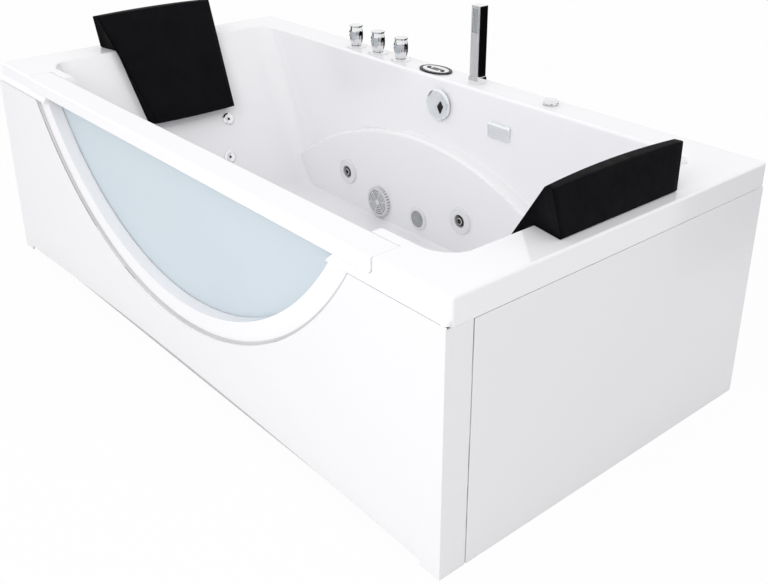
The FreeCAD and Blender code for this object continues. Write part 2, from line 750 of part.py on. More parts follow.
def make_frame():
    """Square tubes, the board under the basin, levelling feet and panel clips."""
    strip_back = front + s.plinth_setback + s.panel_wall
    rails = [square_tube((-outer_cross - half_tube, outer_cross + half_tube),
                         (side * s.rail_pitch / 2 - half_tube,
                          side * s.rail_pitch / 2 + half_tube),
                         (cross_top, rail_top), 0) for side in (-1, 1)]
    node("frame_long_rails", group(rails))
    crosses = []
    feet = []
    foot_y = (front + s.front_post, back - s.back_post)
    for x in (-outer_cross, -inner_cross, inner_cross, outer_cross):
        tube = square_tube((x - half_tube, x + half_tube), (strip_back, -strip_back),
                           (cross_bottom, cross_top), 1)
        holes = [rod(s.stem_radius + s.hairline, s.tube_wall * 2,
                     (x, y, cross_bottom - s.tube_wall / 2)) for y in foot_y]
        crosses.append(cut(tube, holes))
        for y in foot_y:
            top = cross_bottom
            stem = s.stem_radius
            feet.append(turned([(0, 0), (s.foot_pad_radius, 0),
                                (s.foot_pad_radius, s.foot_pad_height / 2),
                                (stem * 1.5, s.foot_pad_height), (stem, s.foot_pad_height),
                                (stem, top - s.nut_height), (s.nut_radius, top - s.nut_height),
                                (s.nut_radius, top), (stem, top),
                                (stem, top + s.stem_overlap), (0, top + s.stem_overlap)],
                               (x, y, 0)))
    node("frame_cross_rails", group(crosses))
    node("levelling_feet", group(feet))
    posts = []
    for x, y in [(side * outer_cross, y) for side in (-1, 1) for y in foot_y] + \
                [(side * inner_cross, foot_y[1]) for side in (-1, 1)]:
        posts.append(square_tube((x - half_tube, x + half_tube),
                                 (y - half_tube, y + half_tube),
                                 (cross_top, deck_under), 2))
    node("frame_posts", group(posts))
    half = half_length - s.board_inset
    board = box((-half, half), (-s.board_width / 2, s.board_width / 2),
                (rail_top, board_top))
    hole = rod(s.trap_radius + s.board_thickness, s.board_thickness * 2,
               (s.overflow_place, s.drain_place, rail_top - s.board_thickness / 2))
    node("base_board", cut(board, [hole]))
    clips = []
    half_clip = s.clip_size / 2
    outer = outer_cross + half_tube
    seam = front + s.return_length + s.return_gap / 2
    for share in (0.22, 0.74):
        z = (deck_under * share - half_clip, deck_under * share + half_clip)
        for side in (-1, 1):
            reach = sorted((side * outer, side * inner_panel), key=float)
            clips.append(box(reach, (foot_y[0] - half_tube / 2, seam + s.clip_size), z))
            clips.append(box(reach, (foot_y[1] - half_clip, foot_y[1] + half_clip), z))
            x = side * outer_cross
            clips.append(box((x - half_clip, x + half_clip),
                             (front + s.panel_wall, foot_y[0] - half_tube), z))
    node("panel_clips", group(clips))


# ---------------------------------------------------------------- headrests

def headrest_block(side, upper):
    """Half of a headrest: what stands above the rim, or what hangs in front of the wall."""
    gap = float(s.rest_gap)
    deck = float(s.rim_height) + gap
    top = deck + float(s.rest_height)
    foot = float(s.rim_height) - float(s.rest_reach)
    blunt = foot + float(s.rest_blunt)
    outer = float(half_length) - float(s.rest_edge_gap)
    edge = float(end_x) - gap * float(end_normal)
    wall = edge - float(s.end_slope) * (float(s.rim_height) - foot)
    back_top = outer - float(s.rest_lean)
    front_top = back_top - float(s.rest_top_depth)
    front_foot = wall - float(s.rest_thickness)
    front_deck = front_top - (front_top - front_foot) * (top - deck) / (top - blunt)
    half_foot = float(s.rest_foot_width) / 2
    spread = (float(s.rest_deck_width) / 2 - half_foot) / (outer - front_foot)
    half_top = half_foot + spread * (front_top - front_foot)
    flare = (float(s.rest_top_width) / 2 - half_top) / (top - deck)
    slices = []
    for share in (-1, -0.55, 0, 0.55, 1):
        bulge = float(s.rest_crown) * (1 - share * share)
        crease = (front_deck - bulge * 0.7, deck)
        if upper:
            outline = [(outer, deck), (back_top, top + bulge * 0.6),
                       (front_top - bulge * 0.4, top + bulge * 0.6), crease]
        else:
            outline = [(edge, deck), crease, (front_foot - bulge * 0.4, blunt), (wall, foot)]
        points = []
        for x, z in outline:
            half = half_foot + spread * (x - front_foot) + flare * max(z - deck, 0)
            points.append(Vec(side * x, share * half + float(s.back_jet_centre), z))
        slices.append(Part.makePolygon(points + points[:1]))
    return feature(Part.makeLoft(slices, True, False))


def make_headrests():
    """Padded headrests that hang over the rim at both ends, on rubber suckers."""
    for side, name in ((-1, "left"), (1, "right")):
        cushion = fuse([headrest_block(side, True), headrest_block(side, False)], refine=False)
        x = side * (half_length - s.rest_edge_gap - (s.end_deck - s.rest_edge_gap) / 2)
        places = [(x, s.back_jet_centre + hand * s.sucker_pitch / 2) for hand in (-1, 1)]
        rooms = [rod(s.sucker_radius + s.hairline, s.sucker_height + s.rest_gap * 2,
                     (px, py, s.rim_height)) for px, py in places]
        node("headrest_" + name, cut(cushion, rooms))
        cups = [turned([(0, s.sucker_height / 2), (s.sucker_radius * 0.9, 0),
                        (s.sucker_radius, 0), (s.sucker_radius * 0.6, s.sucker_height / 2),
                        (s.sucker_radius * 0.5, s.sucker_height + s.rest_gap),
                        (0, s.sucker_height + s.rest_gap)],
                       (px, py, s.rim_height + s.rest_gap)) for px, py in places]
        node("headrest_suckers_" + name, group(cups))


# ---------------------------------------------------------------- taps and mixer

def make_taps():
    """Three deck taps: flanges, barrel handles and the mixer body below the deck."""
    rise = s.tap_flange_height
    bore = s.spindle_radius + s.running_gap
    flange = [(bore, 0), (s.tap_flange, 0), (s.tap_flange, rise * 0.35),
              (s.tap_flange * 0.8, rise * 0.8), (s.valve_radius, rise), (bore, rise)]
    node("tap_flanges", group([turned(flange, (x, deck_y, s.rim_height)) for x in taps_x]))
    high, wide = s.handle_height, s.handle_radius
    shoulder = high * 0.8
    barrel = [(bore, 0), (wide * 0.76, 0), (wide * 0.8, high * 0.06),
              (wide * 0.97, high * 0.3), (wide, high * 0.5), (wide * 0.96, high * 0.72),
              (wide * 0.84, high * 0.9), (wide * 0.84, high * 0.93),
              (wide * 0.98, high * 0.95), (wide * 0.98, high), (0, high),
              (0, shoulder), (bore, shoulder)]
    start = s.rim_height + rise + s.turn_gap
    for x, name in zip(taps_x, ("cold", "hot", "diverter")):
        node("tap_handle_" + name, turned(barrel, (x, deck_y, start)))
    bottom = s.rim_height - s.valve_depth
    parts = []
    for x in taps_x:
        parts.append(rod(s.valve_radius, s.valve_depth, (x, deck_y, bottom)))
        parts.append(rod(s.spindle_radius, rise + s.turn_gap + shoulder - s.turn_gap,
                         (x, deck_y, s.rim_height)))
    pipe_z = bottom + s.valve_radius
    run = s.tap_pitch * 2 + s.valve_radius * 2
    parts.append(rod(s.valve_radius * 0.8, run, (taps_x[0], deck_y, pipe_z), "+X"))
    for x in taps_x[:2]:
        parts.append(rod(s.inlet_radius, s.inlet_length, (x, deck_y, bottom), "-Z"))
    parts.append(rod(s.hose_radius, s.inlet_length / 2, (taps_x[2], deck_y, bottom), "-Z"))
    node("mixer_body", fuse(parts))
    start_x = taps_x[2] + s.valve_radius * 2
    path = [(start_x, deck_y, pipe_z),
            (start_x + s.bend_radius, deck_y, pipe_z),
            (start_x + s.bend_radius * 2, back - s.feed_line, s.feed_height),
            (s.spout_place, back - s.feed_line, s.feed_height),
            (s.spout_place, back - s.feed_line, spout_z - s.spout_height / 2)]
    node("feed_pipe", feature(pipe(path, s.feed_radius, s.feed_radius * 2)))


def oval(length, width, low, high):
    """An upright oval plate about the control panel's middle."""
    major, minor = sorted((float(length) / 2, float(width) / 2), reverse=True)
    centre = Vec(float(s.panel_centre), float(deck_y), float(low))
    ring = Part.Ellipse(centre + Vec(major, 0, 0), centre + Vec(0, minor, 0), centre)
    face = Part.Face(Part.Wire(ring.toShape()))
    return face.extrude(Vec(0, 0, float(high) - float(low)))


def make_control_panel():
    """Oval control panel: ring, pad with its housing, display and two push buttons."""
    rim = s.rim_height
    top = rim + s.bezel_height
    inner = (s.bezel_length - s.bezel_ring * 2, s.bezel_width - s.bezel_ring * 2)
    ring = oval(s.bezel_length, s.bezel_width, rim, top)
    hole = oval(inner[0], inner[1], rim, top)
    node("control_bezel", feature(ring.cut(hole)))
    clear = s.hairline * 2
    plate = feature(oval(inner[0] - clear, inner[1] - clear, rim, top))
    reach = s.bezel_width / 2 - s.bezel_ring - s.hairline
    housing = box((s.panel_centre - reach, s.panel_centre + reach),
                  (deck_y - reach, deck_y + reach), (rim - s.housing_depth, rim))
    well = s.button_travel + s.button_rise
    rooms = [box((s.panel_centre - s.display_length / 2, s.panel_centre + s.display_length / 2),
                 (deck_y - s.display_width / 2, deck_y + s.display_width / 2),
                 (top - s.button_rise, top + s.button_rise))]
    for side, name in ((-1, "button_pump"), (1, "button_light")):
        x = s.panel_centre + side * s.button_pitch / 2
        low = top - well
        rooms.append(rod(s.button_radius + s.hairline, well * 2, (x, deck_y, low)))
        start = low + s.button_travel
        r = s.button_radius
        node(name, turned([(0, 0), (r, 0), (r, s.button_rise * 1.6),
                           (r * 0.8, s.button_rise * 1.9), (0, s.button_rise * 1.9)],
                          (x, deck_y, start)))
    node("control_pad", cut(fuse([plate, housing]), rooms))
    node("control_display", box((s.panel_centre - s.display_length / 2,
                                 s.panel_centre + s.display_length / 2),
                                (deck_y - s.display_width / 2, deck_y + s.display_width / 2),
                                (top - s.button_rise, top + s.hairline)))


# the hose's corners: shares of the way to the diverter, of its sag forward and of its drop
HOSE_ROUTE = [(0, 0, 0.41), (0.02, 0.37, 0.69), (0.15, 0.87, 0.92), (0.49, 1, 1),
              (0.77, 0.83, 0.93), (0.96, 0.33, 0.69), (1, 0, 0.46)]


def make_shower():
    """Square stick handset in its sleeve, with the hose that feeds it."""
    half = s.stick_size / 2
    x, y = s.shower_place, deck_y
    foot = s.rim_height - s.sleeve_depth / 4
    stick_top = foot + s.stick_height
    stick = box((x - half, x + half), (y - half, y + half), (foot, stick_top))
    spray_top = stick_top - s.spray_inset
    spray_low = spray_top - s.spray_length
    room = box((x - s.spray_width / 2, x + s.spray_width / 2),
               (y - half - s.spray_rise, y - half + s.spray_rise * 2), (spray_low, spray_top))
    node("shower_handset", cut(stick, [room]))
    plate_half = s.spray_width / 2 - s.hairline / 2
    node("shower_spray_face", box((x - plate_half, x + plate_half),
                                  (y - half - s.spray_rise, y - half + s.spray_rise * 2),
                                  (spray_low + s.hairline / 2, spray_top - s.hairline / 2)))
    wall = half + s.hairline + s.sleeve_wall
    room = half + s.hairline
    shelf = foot - s.hairline
    outer = box((x - wall, x + wall), (y - wall, y + wall),
                (s.rim_height - s.sleeve_depth, s.rim_height + s.sleeve_rise))
    brim = wall + s.sleeve_wall
    collar = box((x - brim, x + brim), (y - brim, y + brim),
                 (s.rim_height, s.rim_height + s.sleeve_wall))
    inside = box((x - room, x + room), (y - room, y + room),
                 (shelf, s.rim_height + s.sleeve_rise * 2))
    bore = rod(s.hose_radius + s.hairline * 2, s.sleeve_depth * 2,
               (x, y, s.rim_height - s.sleeve_depth * 2))
    node("shower_holder", cut(fuse([outer, collar]), [inside, bore]))
    low = s.rim_height - s.valve_depth - s.inlet_length / 2
    end = taps_x[2]
    sag = deck_y - (back - s.feed_line)
    points = [(x, y, foot)]
    for across, ahead, down in HOSE_ROUTE:
        points.append((x - (x - end) * across, y - sag * ahead,
                       s.rim_height - s.hose_drop * down))
    points.append((end, y, low))
    node("shower_hose", feature(pipe(points, s.hose_radius, s.hose_radius * 7)))


def make_air_control():
    """Air regulator knob in the deck and its valve below."""
    x = s.air_place
    rise = s.air_height
    node("air_knob", turned([(s.spindle_radius + s.running_gap, 0), (s.air_radius, 0),
                             (s.air_radius, rise * 0.35), (s.air_radius * 0.85, rise * 0.8),
                             (s.air_radius * 0.5, rise), (0, rise), (0, rise * 0.7),
                             (s.spindle_radius + s.running_gap, rise * 0.7)],
                            (x, deck_y, s.rim_height + s.turn_gap + s.fitting_wall)))
    low = s.rim_height - s.air_valve_depth
    r = s.air_valve_radius
    node("air_valve", turned([(0, low), (r * 0.7, low), (r * 0.7, low + r), (r, low + r),
                              (r, s.rim_height), (s.air_radius * 1.05, s.rim_height),
                              (s.air_radius * 1.05, s.rim_height + s.fitting_wall),
                              (s.spindle_radius, s.rim_height + s.fitting_wall),
                              (s.spindle_radius, s.rim_height + s.fitting_wall + rise * 0.7),
                              (0, s.rim_height + s.fitting_wall + rise * 0.7)],
                             (x, deck_y, 0)))


# ---------------------------------------------------------------- back wall fittings

def make_overflow_and_drain():
    """Rotary overflow knob, its body and pipe, the drain, its plug and the trap."""
    x = s.overflow_place
    low_wall = back_wall(overflow_z - s.overflow_radius)
    plate = s.shell_wall * 0.8
    shaft = s.spindle_radius
    rosette = s.overflow_radius * 0.85
    pipe_y = back - s.overflow_line
    pipe_r = s.overflow_pipe_radius
    depth = pipe_y - low_wall
    body = turned([(0, -plate - s.overflow_reach * 0.5), (shaft, -plate - s.overflow_reach * 0.5),
                   (shaft, -plate), (rosette, -plate), (rosette, 0), (s.drain_bore, 0),
                   (s.drain_bore, depth - pipe_r / 2), (0, depth - pipe_r / 2)],
                  (x, low_wall, overflow_z), "+Y")
    drop = rod(pipe_r, s.drain_bore * 1.5, (x, pipe_y, overflow_z), "-Z")
    elbow = ball(pipe_r, (x, pipe_y, overflow_z))
    node("overflow_body", fuse([body, drop, elbow]))
    r, reach = s.overflow_radius, s.overflow_reach
    bore = shaft + s.running_gap
    node("overflow_knob", turned([(bore, s.turn_gap), (r * 0.97, s.turn_gap),
                                  (r, reach * 0.1), (r, reach * 0.72),
                                  (r * 0.97, reach * 0.82), (r * 0.86, reach * 0.93),
                                  (r * 0.5, reach * 0.98), (0, reach),
                                  (0, reach * 0.5 + s.turn_gap),
                                  (bore, reach * 0.5 + s.turn_gap)],
                                 (x, low_wall - plate, overflow_z), "-Y"))
    start = overflow_z - s.drain_bore * 1.5
    tail = s.drain_place + s.trap_radius
    path = [(x, pipe_y, start), (x, pipe_y, s.waste_height), (x, tail, s.waste_height)]
    node("overflow_pipe", feature(pipe(path, pipe_r, s.bend_radius)))
    bore = s.drain_bore
    inner = bore - s.fitting_wall * 2
    rise = s.fitting_wall
    low = rail_top
    seat = floor_top + rise
    node("drain_flange", turned([(inner, low), (bore, low), (bore, floor_top),
                                 (s.drain_radius, floor_top),
                                 (s.drain_radius - rise, seat), (inner, seat)],
                                (x, s.drain_place, 0)))
    stem = s.plug_stem
    node("drain_plug", turned([(0, low), (stem, low), (stem, seat + s.hairline),
                               (s.plug_radius, seat + s.hairline),
                               (s.plug_radius, seat + s.plug_height * 0.4),
                               (s.plug_radius * 0.6, seat + s.plug_height),
                               (0, seat + s.plug_height)],
                              (x, s.drain_place, 0)))
    cup = rod(s.trap_radius, low - s.waste_height / 2,
              (x, s.drain_place, s.waste_height / 2))
    run = s.waste_radius - s.fitting_wall
    out_x = x - s.waste_side
    out_y = back - s.waste_start
    outlet = [rod(run, s.waste_side, (x, s.drain_place, s.waste_height), "-X"),
              ball(run, (out_x, s.drain_place, s.waste_height)),
              rod(run, out_y - s.drain_place, (out_x, s.drain_place, s.waste_height), "+Y"),
              rod(s.waste_radius, s.waste_length, (out_x, out_y, s.waste_height), "+Y")]
    room = rod(inner, low, (x, s.drain_place, s.waste_height))
    node("waste_trap", cut(fuse([cup] + outlet), [room]))


def make_spout():
    """Waterfall spout: a chrome lip under a slot, with its chamber behind the wall."""
    half = s.spout_width / 2
    tall = s.spout_height / 2
    wall = back_wall(spout_z - tall)
    lip = new_body()
    sketch = new_sketch(lip, "YZ_Plane", s.spout_place - half)
    polygon(sketch, [(wall, spout_z - tall), (wall - s.spout_reach * 0.7, spout_z - tall),
                     (wall - s.spout_reach, spout_z + tall * 0.75),
                     (wall - s.spout_reach * 0.8, spout_z + tall * 0.75),
                     (wall, spout_z + tall)])
    pad(lip, sketch, s.spout_width)
    inner = half - s.shell_wall - s.hairline
    drop = tall - s.shell_wall - s.hairline
    neck = box((s.spout_place - inner, s.spout_place + inner),
               (wall, back_y + s.shell_wall), (spout_z - drop, spout_z + drop))
    room = s.feed_line - s.feed_radius * 2
    chamber = box((s.spout_place - half, s.spout_place + half),
                  (back_y + s.shell_wall, back - room), (spout_z - tall, spout_z + tall))
    node("waterfall_spout", fuse([lip, neck, chamber]))


def make_jets():
    """Two large swivel jets, eight small back jets, the suction cover and the light."""
    front_room = s.jet_body_radius - s.back_jet_body * 0.36
    depth = s.jet_body_depth
    rise = s.jet_rise
    ball_y = face_y + s.ball_depth
    room = s.ball_radius + s.ball_gap

    def seat(place):
        """The seat's radius around the ball, at a depth behind the wall's face."""
        ahead = s.ball_depth - place
        return root(room * room - ahead * ahead)
    flanges = []
    bodies = []
    for x, name in zip(jets_x, ("left", "right")):
        thick = s.shell_wall
        flanges.append(turned([(seat(thick), -thick), (front_room, -thick), (front_room, 0),
                               (s.jet_radius, 0), (s.jet_radius, rise * 0.7),
                               (s.jet_radius * 0.95, rise * 0.95),
                               (s.jet_hole + thick, rise), (s.jet_hole, rise * 0.8),
                               (s.jet_hole, -thick * 0.6), (seat(thick * 0.7), -thick * 0.7)],
                              (x, face_y, jet_z), "-Y"))
        r = s.jet_body_radius
        tail = depth + thick
        cup = turned([(front_room + s.hairline, 0), (r, 0), (r, tail), (s.nozzle_bore, tail),
                      (s.nozzle_bore, tail - thick / 2), (room, tail - thick / 2),
                      (room, thick + s.hairline), (front_room + s.hairline, thick + s.hairline)],
                     (x, face_y, jet_z), "+Y")
        chimney = rod(s.air_pipe_radius * 1.5, s.air_run_height - jet_z - r * 0.95,
                      (x, face_y + tail - s.air_pipe_radius * 2, jet_z + r * 0.95))
        bodies.append(fuse([cup, chimney]))
        sphere = ball(s.ball_radius, (x, ball_y, jet_z))
        stem = rod(s.nozzle_radius, s.ball_depth + rise * 0.6, (x, ball_y, jet_z), "-Y")
        bore = rod(s.nozzle_bore, s.ball_radius * 4, (x, ball_y + s.ball_radius * 2, jet_z),
                   "-Y")
        node("jet_nozzle_" + name, cut(fuse([sphere, stem]), [bore]))
    node("jet_flanges", group(flanges))
    node("jet_bodies", group(bodies))
    small = []
    for x, y, z, lean, tail in back_jet_places():
        r = s.back_jet_radius
        small.append(turned([(s.plug_stem, -tail), (s.back_jet_body, -tail),
                             (s.back_jet_body, s.hairline), (r, s.hairline),
                             (r, s.fitting_wall), (r * 0.75, s.fitting_wall * 2),
                             (r * 0.5, s.fitting_wall * 1.6), (s.plug_stem, s.fitting_wall)],
                            (x, y, z), lean=lean))
    node("back_jets", group(small))
    r, face, reach = s.suction_radius, s.suction_face, s.suction_reach
    profile = [(0, 0), (r, 0), (r, reach * 0.75), (face + s.hairline * 5, reach * 0.95),
               (face, reach)]
    groove = face / 9
    for index in range(4):
        edge = face - groove * (index * 2 + 1)
        profile += [(edge, reach), (edge, reach * 0.8), (edge - groove, reach * 0.8),
                    (edge - groove, reach)]
    profile += [(0, reach)]
    node("suction_cover", turned(profile, (s.suction_place, face_y, suction_z), "-Y"))
    hole = s.suction_face - s.shell_wall
    end = back - s.suction_line - s.suction_pipe_radius
    node("suction_body", turned([(0, 0), (hole, 0), (hole, s.shell_wall * 4),
                                 (s.suction_pipe_radius, s.shell_wall * 5),
                                 (s.suction_pipe_radius, end - face_y),
                                 (0, end - face_y)],
                                (s.suction_place, face_y, suction_z), "+Y"))
    lens, ring = s.lens_radius, s.bezel_radius
    thick = s.shell_wall
    node("light_body", turned([(0, -thick * 5), (lens, -thick * 5), (lens, 0), (ring, 0),
                               (ring, thick * 0.4), (ring * 0.94, thick), (lens, thick),
                               (lens, thick * 0.2), (0, thick * 0.2)],
                              (s.light_place, face_y, suction_z), "-Y"))
    glass = lens - s.hairline
    node("light_lens", turned([(0, thick * 0.2), (glass, thick * 0.2), (glass, thick),
                               (glass * 0.7, thick * 1.4), (0, thick * 1.5)],
                              (s.light_place, face_y, suction_z), "-Y"))


# ---------------------------------------------------------------- pump and pipes

def make_pump():
    """Motor, volute, impeller on its shaft, and the base they stand on."""
    x, z = pump_x, s.pump_height
    y0 = s.volute_front
    long, r = s.motor_length, s.motor_radius
    shaft = s.shaft_radius + s.running_gap
    deep = s.volute_length
    motor = [(0, -long), (r * 0.9, -long), (r * 0.97, -long * 0.96), (r * 0.97, -long * 0.74),
             (r * 0.9, -long * 0.73)]
    fins = 7
    first, last = -long * 0.72, -long * 0.2
    pitch = (last - first) / fins
    for index in range(fins):
        start = first + pitch * index
        motor += [(r * 0.9, start), (r, start), (r, start + pitch * 0.45),
                  (r * 0.9, start + pitch * 0.45)]
    motor += [(r * 0.9, -long * 0.1), (r * 0.7, 0), (shaft, 0), (shaft, -long * 0.5),
              (0, -long * 0.5)]
    node("pump_motor", turned(motor, (x, y0, z), "+Y"))
    wall = s.volute_wall
    big = s.volute_radius
    neck = s.suction_pipe_radius + s.fitting_wall
    shell = turned([(shaft, 0), (big, 0), (big, deep), (neck, deep), (neck, deep + wall * 4),
                    (s.suction_pipe_radius, deep + wall * 4),
                    (s.suction_pipe_radius, deep - wall), (big - wall, deep - wall),
                    (big - wall, wall), (shaft, wall)],
                   (x, y0, z), "+Y")
    mid = y0 + deep / 2
    run_x = run_place(lower_jet_z, main_z)
    port = rod(s.main_radius + s.fitting_wall, x - run_x - s.main_radius - s.hairline,
               (x, mid, z + s.port_rise), "-X")
    clear = rod(big - wall, deep - wall * 2, (x, y0 + wall, z), "+Y")
    way = rod(s.main_radius - s.fitting_wall, x, (x, mid, z + s.port_rise), "-X")
    node("pump_housing", fuse([cut(shell, [way]), cut(port, [clear, way])]))
    disc = s.impeller_radius
    start = wall * 1.5
    hub = turned([(0, -long * 0.4), (s.shaft_radius, -long * 0.4), (s.shaft_radius, start),
                  (disc, start), (disc, start + wall / 2), (s.shaft_radius * 2, start + wall / 2),
                  (s.shaft_radius * 1.4, deep - wall * 2), (0, deep - wall * 2)],
                 (x, y0, z), "+Y")
    vanes = []
    for index in range(3):
        vane = doc.addObject("Part::Box", "vane")
        bind(vane, "Length", disc * 1.9)
        bind(vane, "Width", deep - wall * 4.5)
        bind(vane, "Height", wall / 2)
        angle = index * 60
        turn = FreeCAD.Rotation(Vec(0, 1, 0), angle)
        vane.Placement = FreeCAD.Placement(Vec(0, 0, 0), turn)
        cos, sin = math.cos(math.radians(angle)), math.sin(math.radians(angle))
        bind(vane, "Placement.Base.x", x - disc * 0.95 * cos - wall / 4 * sin)
        bind(vane, "Placement.Base.y", y0 + start)
        bind(vane, "Placement.Base.z", z + disc * 0.95 * sin - wall / 4 * cos)
        vanes.append(vane)
    node("pump_impeller", fuse([hub] + vanes))
    half = r * 0.95
    board_low = s.base_foot
    board_high = board_low + s.base_board
    tail = y0 - long * 0.82
    board = box((x - half, x + half), (tail - wall, y0 - wall), (board_low, board_high))
    seat = rod(r + s.running_gap, long * 2, (x, tail - long / 2, z), "+Y")
    saddles = []
    for y in (tail + wall, y0 - long * 0.32):
        saddles.append(box((x - half * 0.8, x + half * 0.8), (y, y + wall * 2),
                           (board_high, z - r * 0.75)))
    feet = [rod(wall * 1.5, board_low, (x + side * half * 0.75, y, 0))
            for side in (-1, 1) for y in (tail + wall, y0 - wall * 4)]
    node("pump_base", fuse([board, cut(saddles[0], [seat]), cut(saddles[1], [seat])] + feet))


def make_pipes():
    """Suction line, pressure main with its jet runs, and the air line."""
    x, z = pump_x, s.pump_height
    start = s.volute_front + s.volute_length + s.volute_wall * 4
    line = back - s.suction_line
    end = line - s.suction_pipe_radius
    path = [(x, start, z), (x, line, z), (s.suction_place, line, z), (s.suction_place, end, z)]
    r = s.suction_pipe_radius
    body = feature(pipe(path[:3], r, s.bend_radius))
    drop = rod(r, r, (s.suction_place, end, suction_z), "+Y")
    cap = ball(r, (s.suction_place, line, suction_z))
    node("suction_pipe", fuse([body, drop, cap]))
    r = s.main_radius
    main_y = back - s.main_line
    jet_run = run_place(lower_jet_z, main_z)
    upper_run = run_place(upper_jet_z, s.upper_run_height)
    far = s.lower_pitch / 2 + r - s.back_jet_centre
    path = [(-jet_run, -far, main_z), (-jet_run, main_y, main_z),
            (jet_run, main_y, main_z), (jet_run, -far, main_z)]
    parts = [feature(pipe(path, r, s.bend_radius))]
    body_end = face_y + s.jet_body_depth + s.shell_wall
    for jet in jets_x:
        parts.append(rod(s.nozzle_radius, main_y - body_end, (jet, body_end, main_z), "+Y"))
    reach = s.upper_pitch / 2 + s.upper_run_radius
    for side in (-1, 1):
        parts.append(rod(s.upper_run_radius, reach * 2,
                         (side * upper_run, s.back_jet_centre - reach, s.upper_run_height),
                         "+Y"))
        parts.append(feature(pipe([(side * jet_run, s.back_jet_centre, main_z),
                                   (side * upper_run, s.back_jet_centre,
                                    s.upper_run_height)],
                                  s.upper_run_radius * 0.9, s.bend_radius)))
    node("pressure_pipes", fuse(parts))
    r = s.air_pipe_radius
    run = s.air_run_height
    line = back - s.air_line
    low = s.rim_height - s.air_valve_depth
    bend = s.bend_radius
    path = [(s.air_place, deck_y, low), (s.air_place, deck_y, run + bend * 2),
            (s.air_place, line, run + bend), (s.air_place - bend, line, run),
            (jets_x[0] - r, line, run)]
    parts = [feature(pipe(path, r, bend / 3))]
    for jet in jets_x:
        inner = face_y + s.jet_body_depth + s.shell_wall - r * 2
        parts.append(rod(r, line - inner, (jet, inner, run + r), "+Y"))
    node("air_pipes", fuse(parts))


def make_control_box():
    """Electronics box that sits on the back long rail at the left end."""
    half = s.box_length / 2
    y = s.rail_pitch / 2
    lid = s.tube_wall * 2
    x = s.box_inset - half_length
    body = slab((x - half, x + half),
                (y - s.box_width / 2, y + s.box_width / 2),
                (rail_top, rail_top + s.box_height - lid), s.lip_corner)
    cover = slab((x - half - lid, x + half + lid),
                 (y - s.box_width / 2 - lid, y + s.box_width / 2 + lid),
                 (rail_top + s.box_height - lid, rail_top + s.box_height), s.lip_corner)
    node("control_box", fuse([body, cover]))


def build():
    """Make every sub-part, check it, and write it out."""
    make_tub_shell()
    make_window()
    make_panels()
    make_frame()
    make_headrests()
    make_taps()
    make_control_panel()
    make_shower()
    make_air_control()
    make_overflow_and_drain()
    make_spout()
    make_jets()
    make_pump()
    make_pipes()
    make_control_box()
    doc.recompute()
    bad = [thing.Label for thing in doc.Objects
           if "Invalid" in thing.State or "Error" in thing.State]
    if bad:
        raise RuntimeError("failed objects: %s" % bad)
    os.makedirs("parts", exist_ok=True)
    for name, thing in nodes.items():
        shape = thing.Shape
        if shape.isNull() or not shape.isValid() or not shape.Solids:
            raise RuntimeError("bad shape: " + name)
        shape.exportStep("parts/%s.step" % name)
        print("%-24s %2d solids %12.0f mm3" % (name, len(shape.Solids), shape.Volume))
    print("%d sub-parts" % len(nodes))


build()
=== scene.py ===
"""Looks of a rectangular jetted bathtub with a glass window in its front.

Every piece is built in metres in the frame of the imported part: +X from the left end to the
right end, +Y from the window to the wall side, +Z up, the origin on the floor.
"""

import json
import logging
import math
from collections.abc import Callable
from dataclasses import dataclass, replace
from enum import Enum

import bmesh
import bpy
import numpy as np
from mathutils import Matrix, Vector

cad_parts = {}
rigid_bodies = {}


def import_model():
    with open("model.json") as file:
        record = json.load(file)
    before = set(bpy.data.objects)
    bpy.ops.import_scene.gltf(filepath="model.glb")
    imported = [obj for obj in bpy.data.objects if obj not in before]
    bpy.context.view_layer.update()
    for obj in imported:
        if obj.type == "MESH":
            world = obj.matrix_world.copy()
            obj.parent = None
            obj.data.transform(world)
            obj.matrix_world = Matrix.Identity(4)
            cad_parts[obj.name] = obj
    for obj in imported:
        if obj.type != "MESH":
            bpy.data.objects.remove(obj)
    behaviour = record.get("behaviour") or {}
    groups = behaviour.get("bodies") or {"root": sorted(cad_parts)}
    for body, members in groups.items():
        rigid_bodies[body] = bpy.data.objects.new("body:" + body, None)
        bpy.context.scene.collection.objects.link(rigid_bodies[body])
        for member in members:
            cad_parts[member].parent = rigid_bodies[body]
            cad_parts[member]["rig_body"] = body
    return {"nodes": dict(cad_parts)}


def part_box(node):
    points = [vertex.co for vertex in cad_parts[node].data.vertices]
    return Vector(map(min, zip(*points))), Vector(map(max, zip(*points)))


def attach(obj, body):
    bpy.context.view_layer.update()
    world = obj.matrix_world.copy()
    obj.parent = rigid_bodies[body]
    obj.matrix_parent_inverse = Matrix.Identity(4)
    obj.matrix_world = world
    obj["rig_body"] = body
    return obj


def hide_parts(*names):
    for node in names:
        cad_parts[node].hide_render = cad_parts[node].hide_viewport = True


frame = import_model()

MM = 0.001
SAME_POINT = 1e-6
NO_LENGTH = 1e-7
CAD_SAME_POINT = 2e-6
FLAT_DEGREES = 0.4
CREASE = 32.0
TURNED_CREASE = 40.0
ROUNDING_FACETS = 3
NORMAL_WEIGHT = 80
BUMP_STRENGTH = 0.6
COAT_ROUGHNESS = 0.05
WHITE = (1.0, 1.0, 1.0, 1.0)
LOG = logging.getLogger("bathtub")

Point = tuple[float, float, float]


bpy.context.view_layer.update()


def body_of(node: str) -> str:
    """The CAD body that a node moves with."""
    return frame["nodes"][node]["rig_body"]


def add_object(name: str, data: bpy.types.ID) -> bpy.types.Object:
    """A new object with this data, linked to the scene.

    Args:
        name: the object's name.
        data: its mesh, curve, camera or light.

    Returns:
        The object.
    """
    made = bpy.data.objects.new(name, data)
    bpy.context.scene.collection.objects.link(made)
    return made


# ------------------------------------------------------------------ finishes

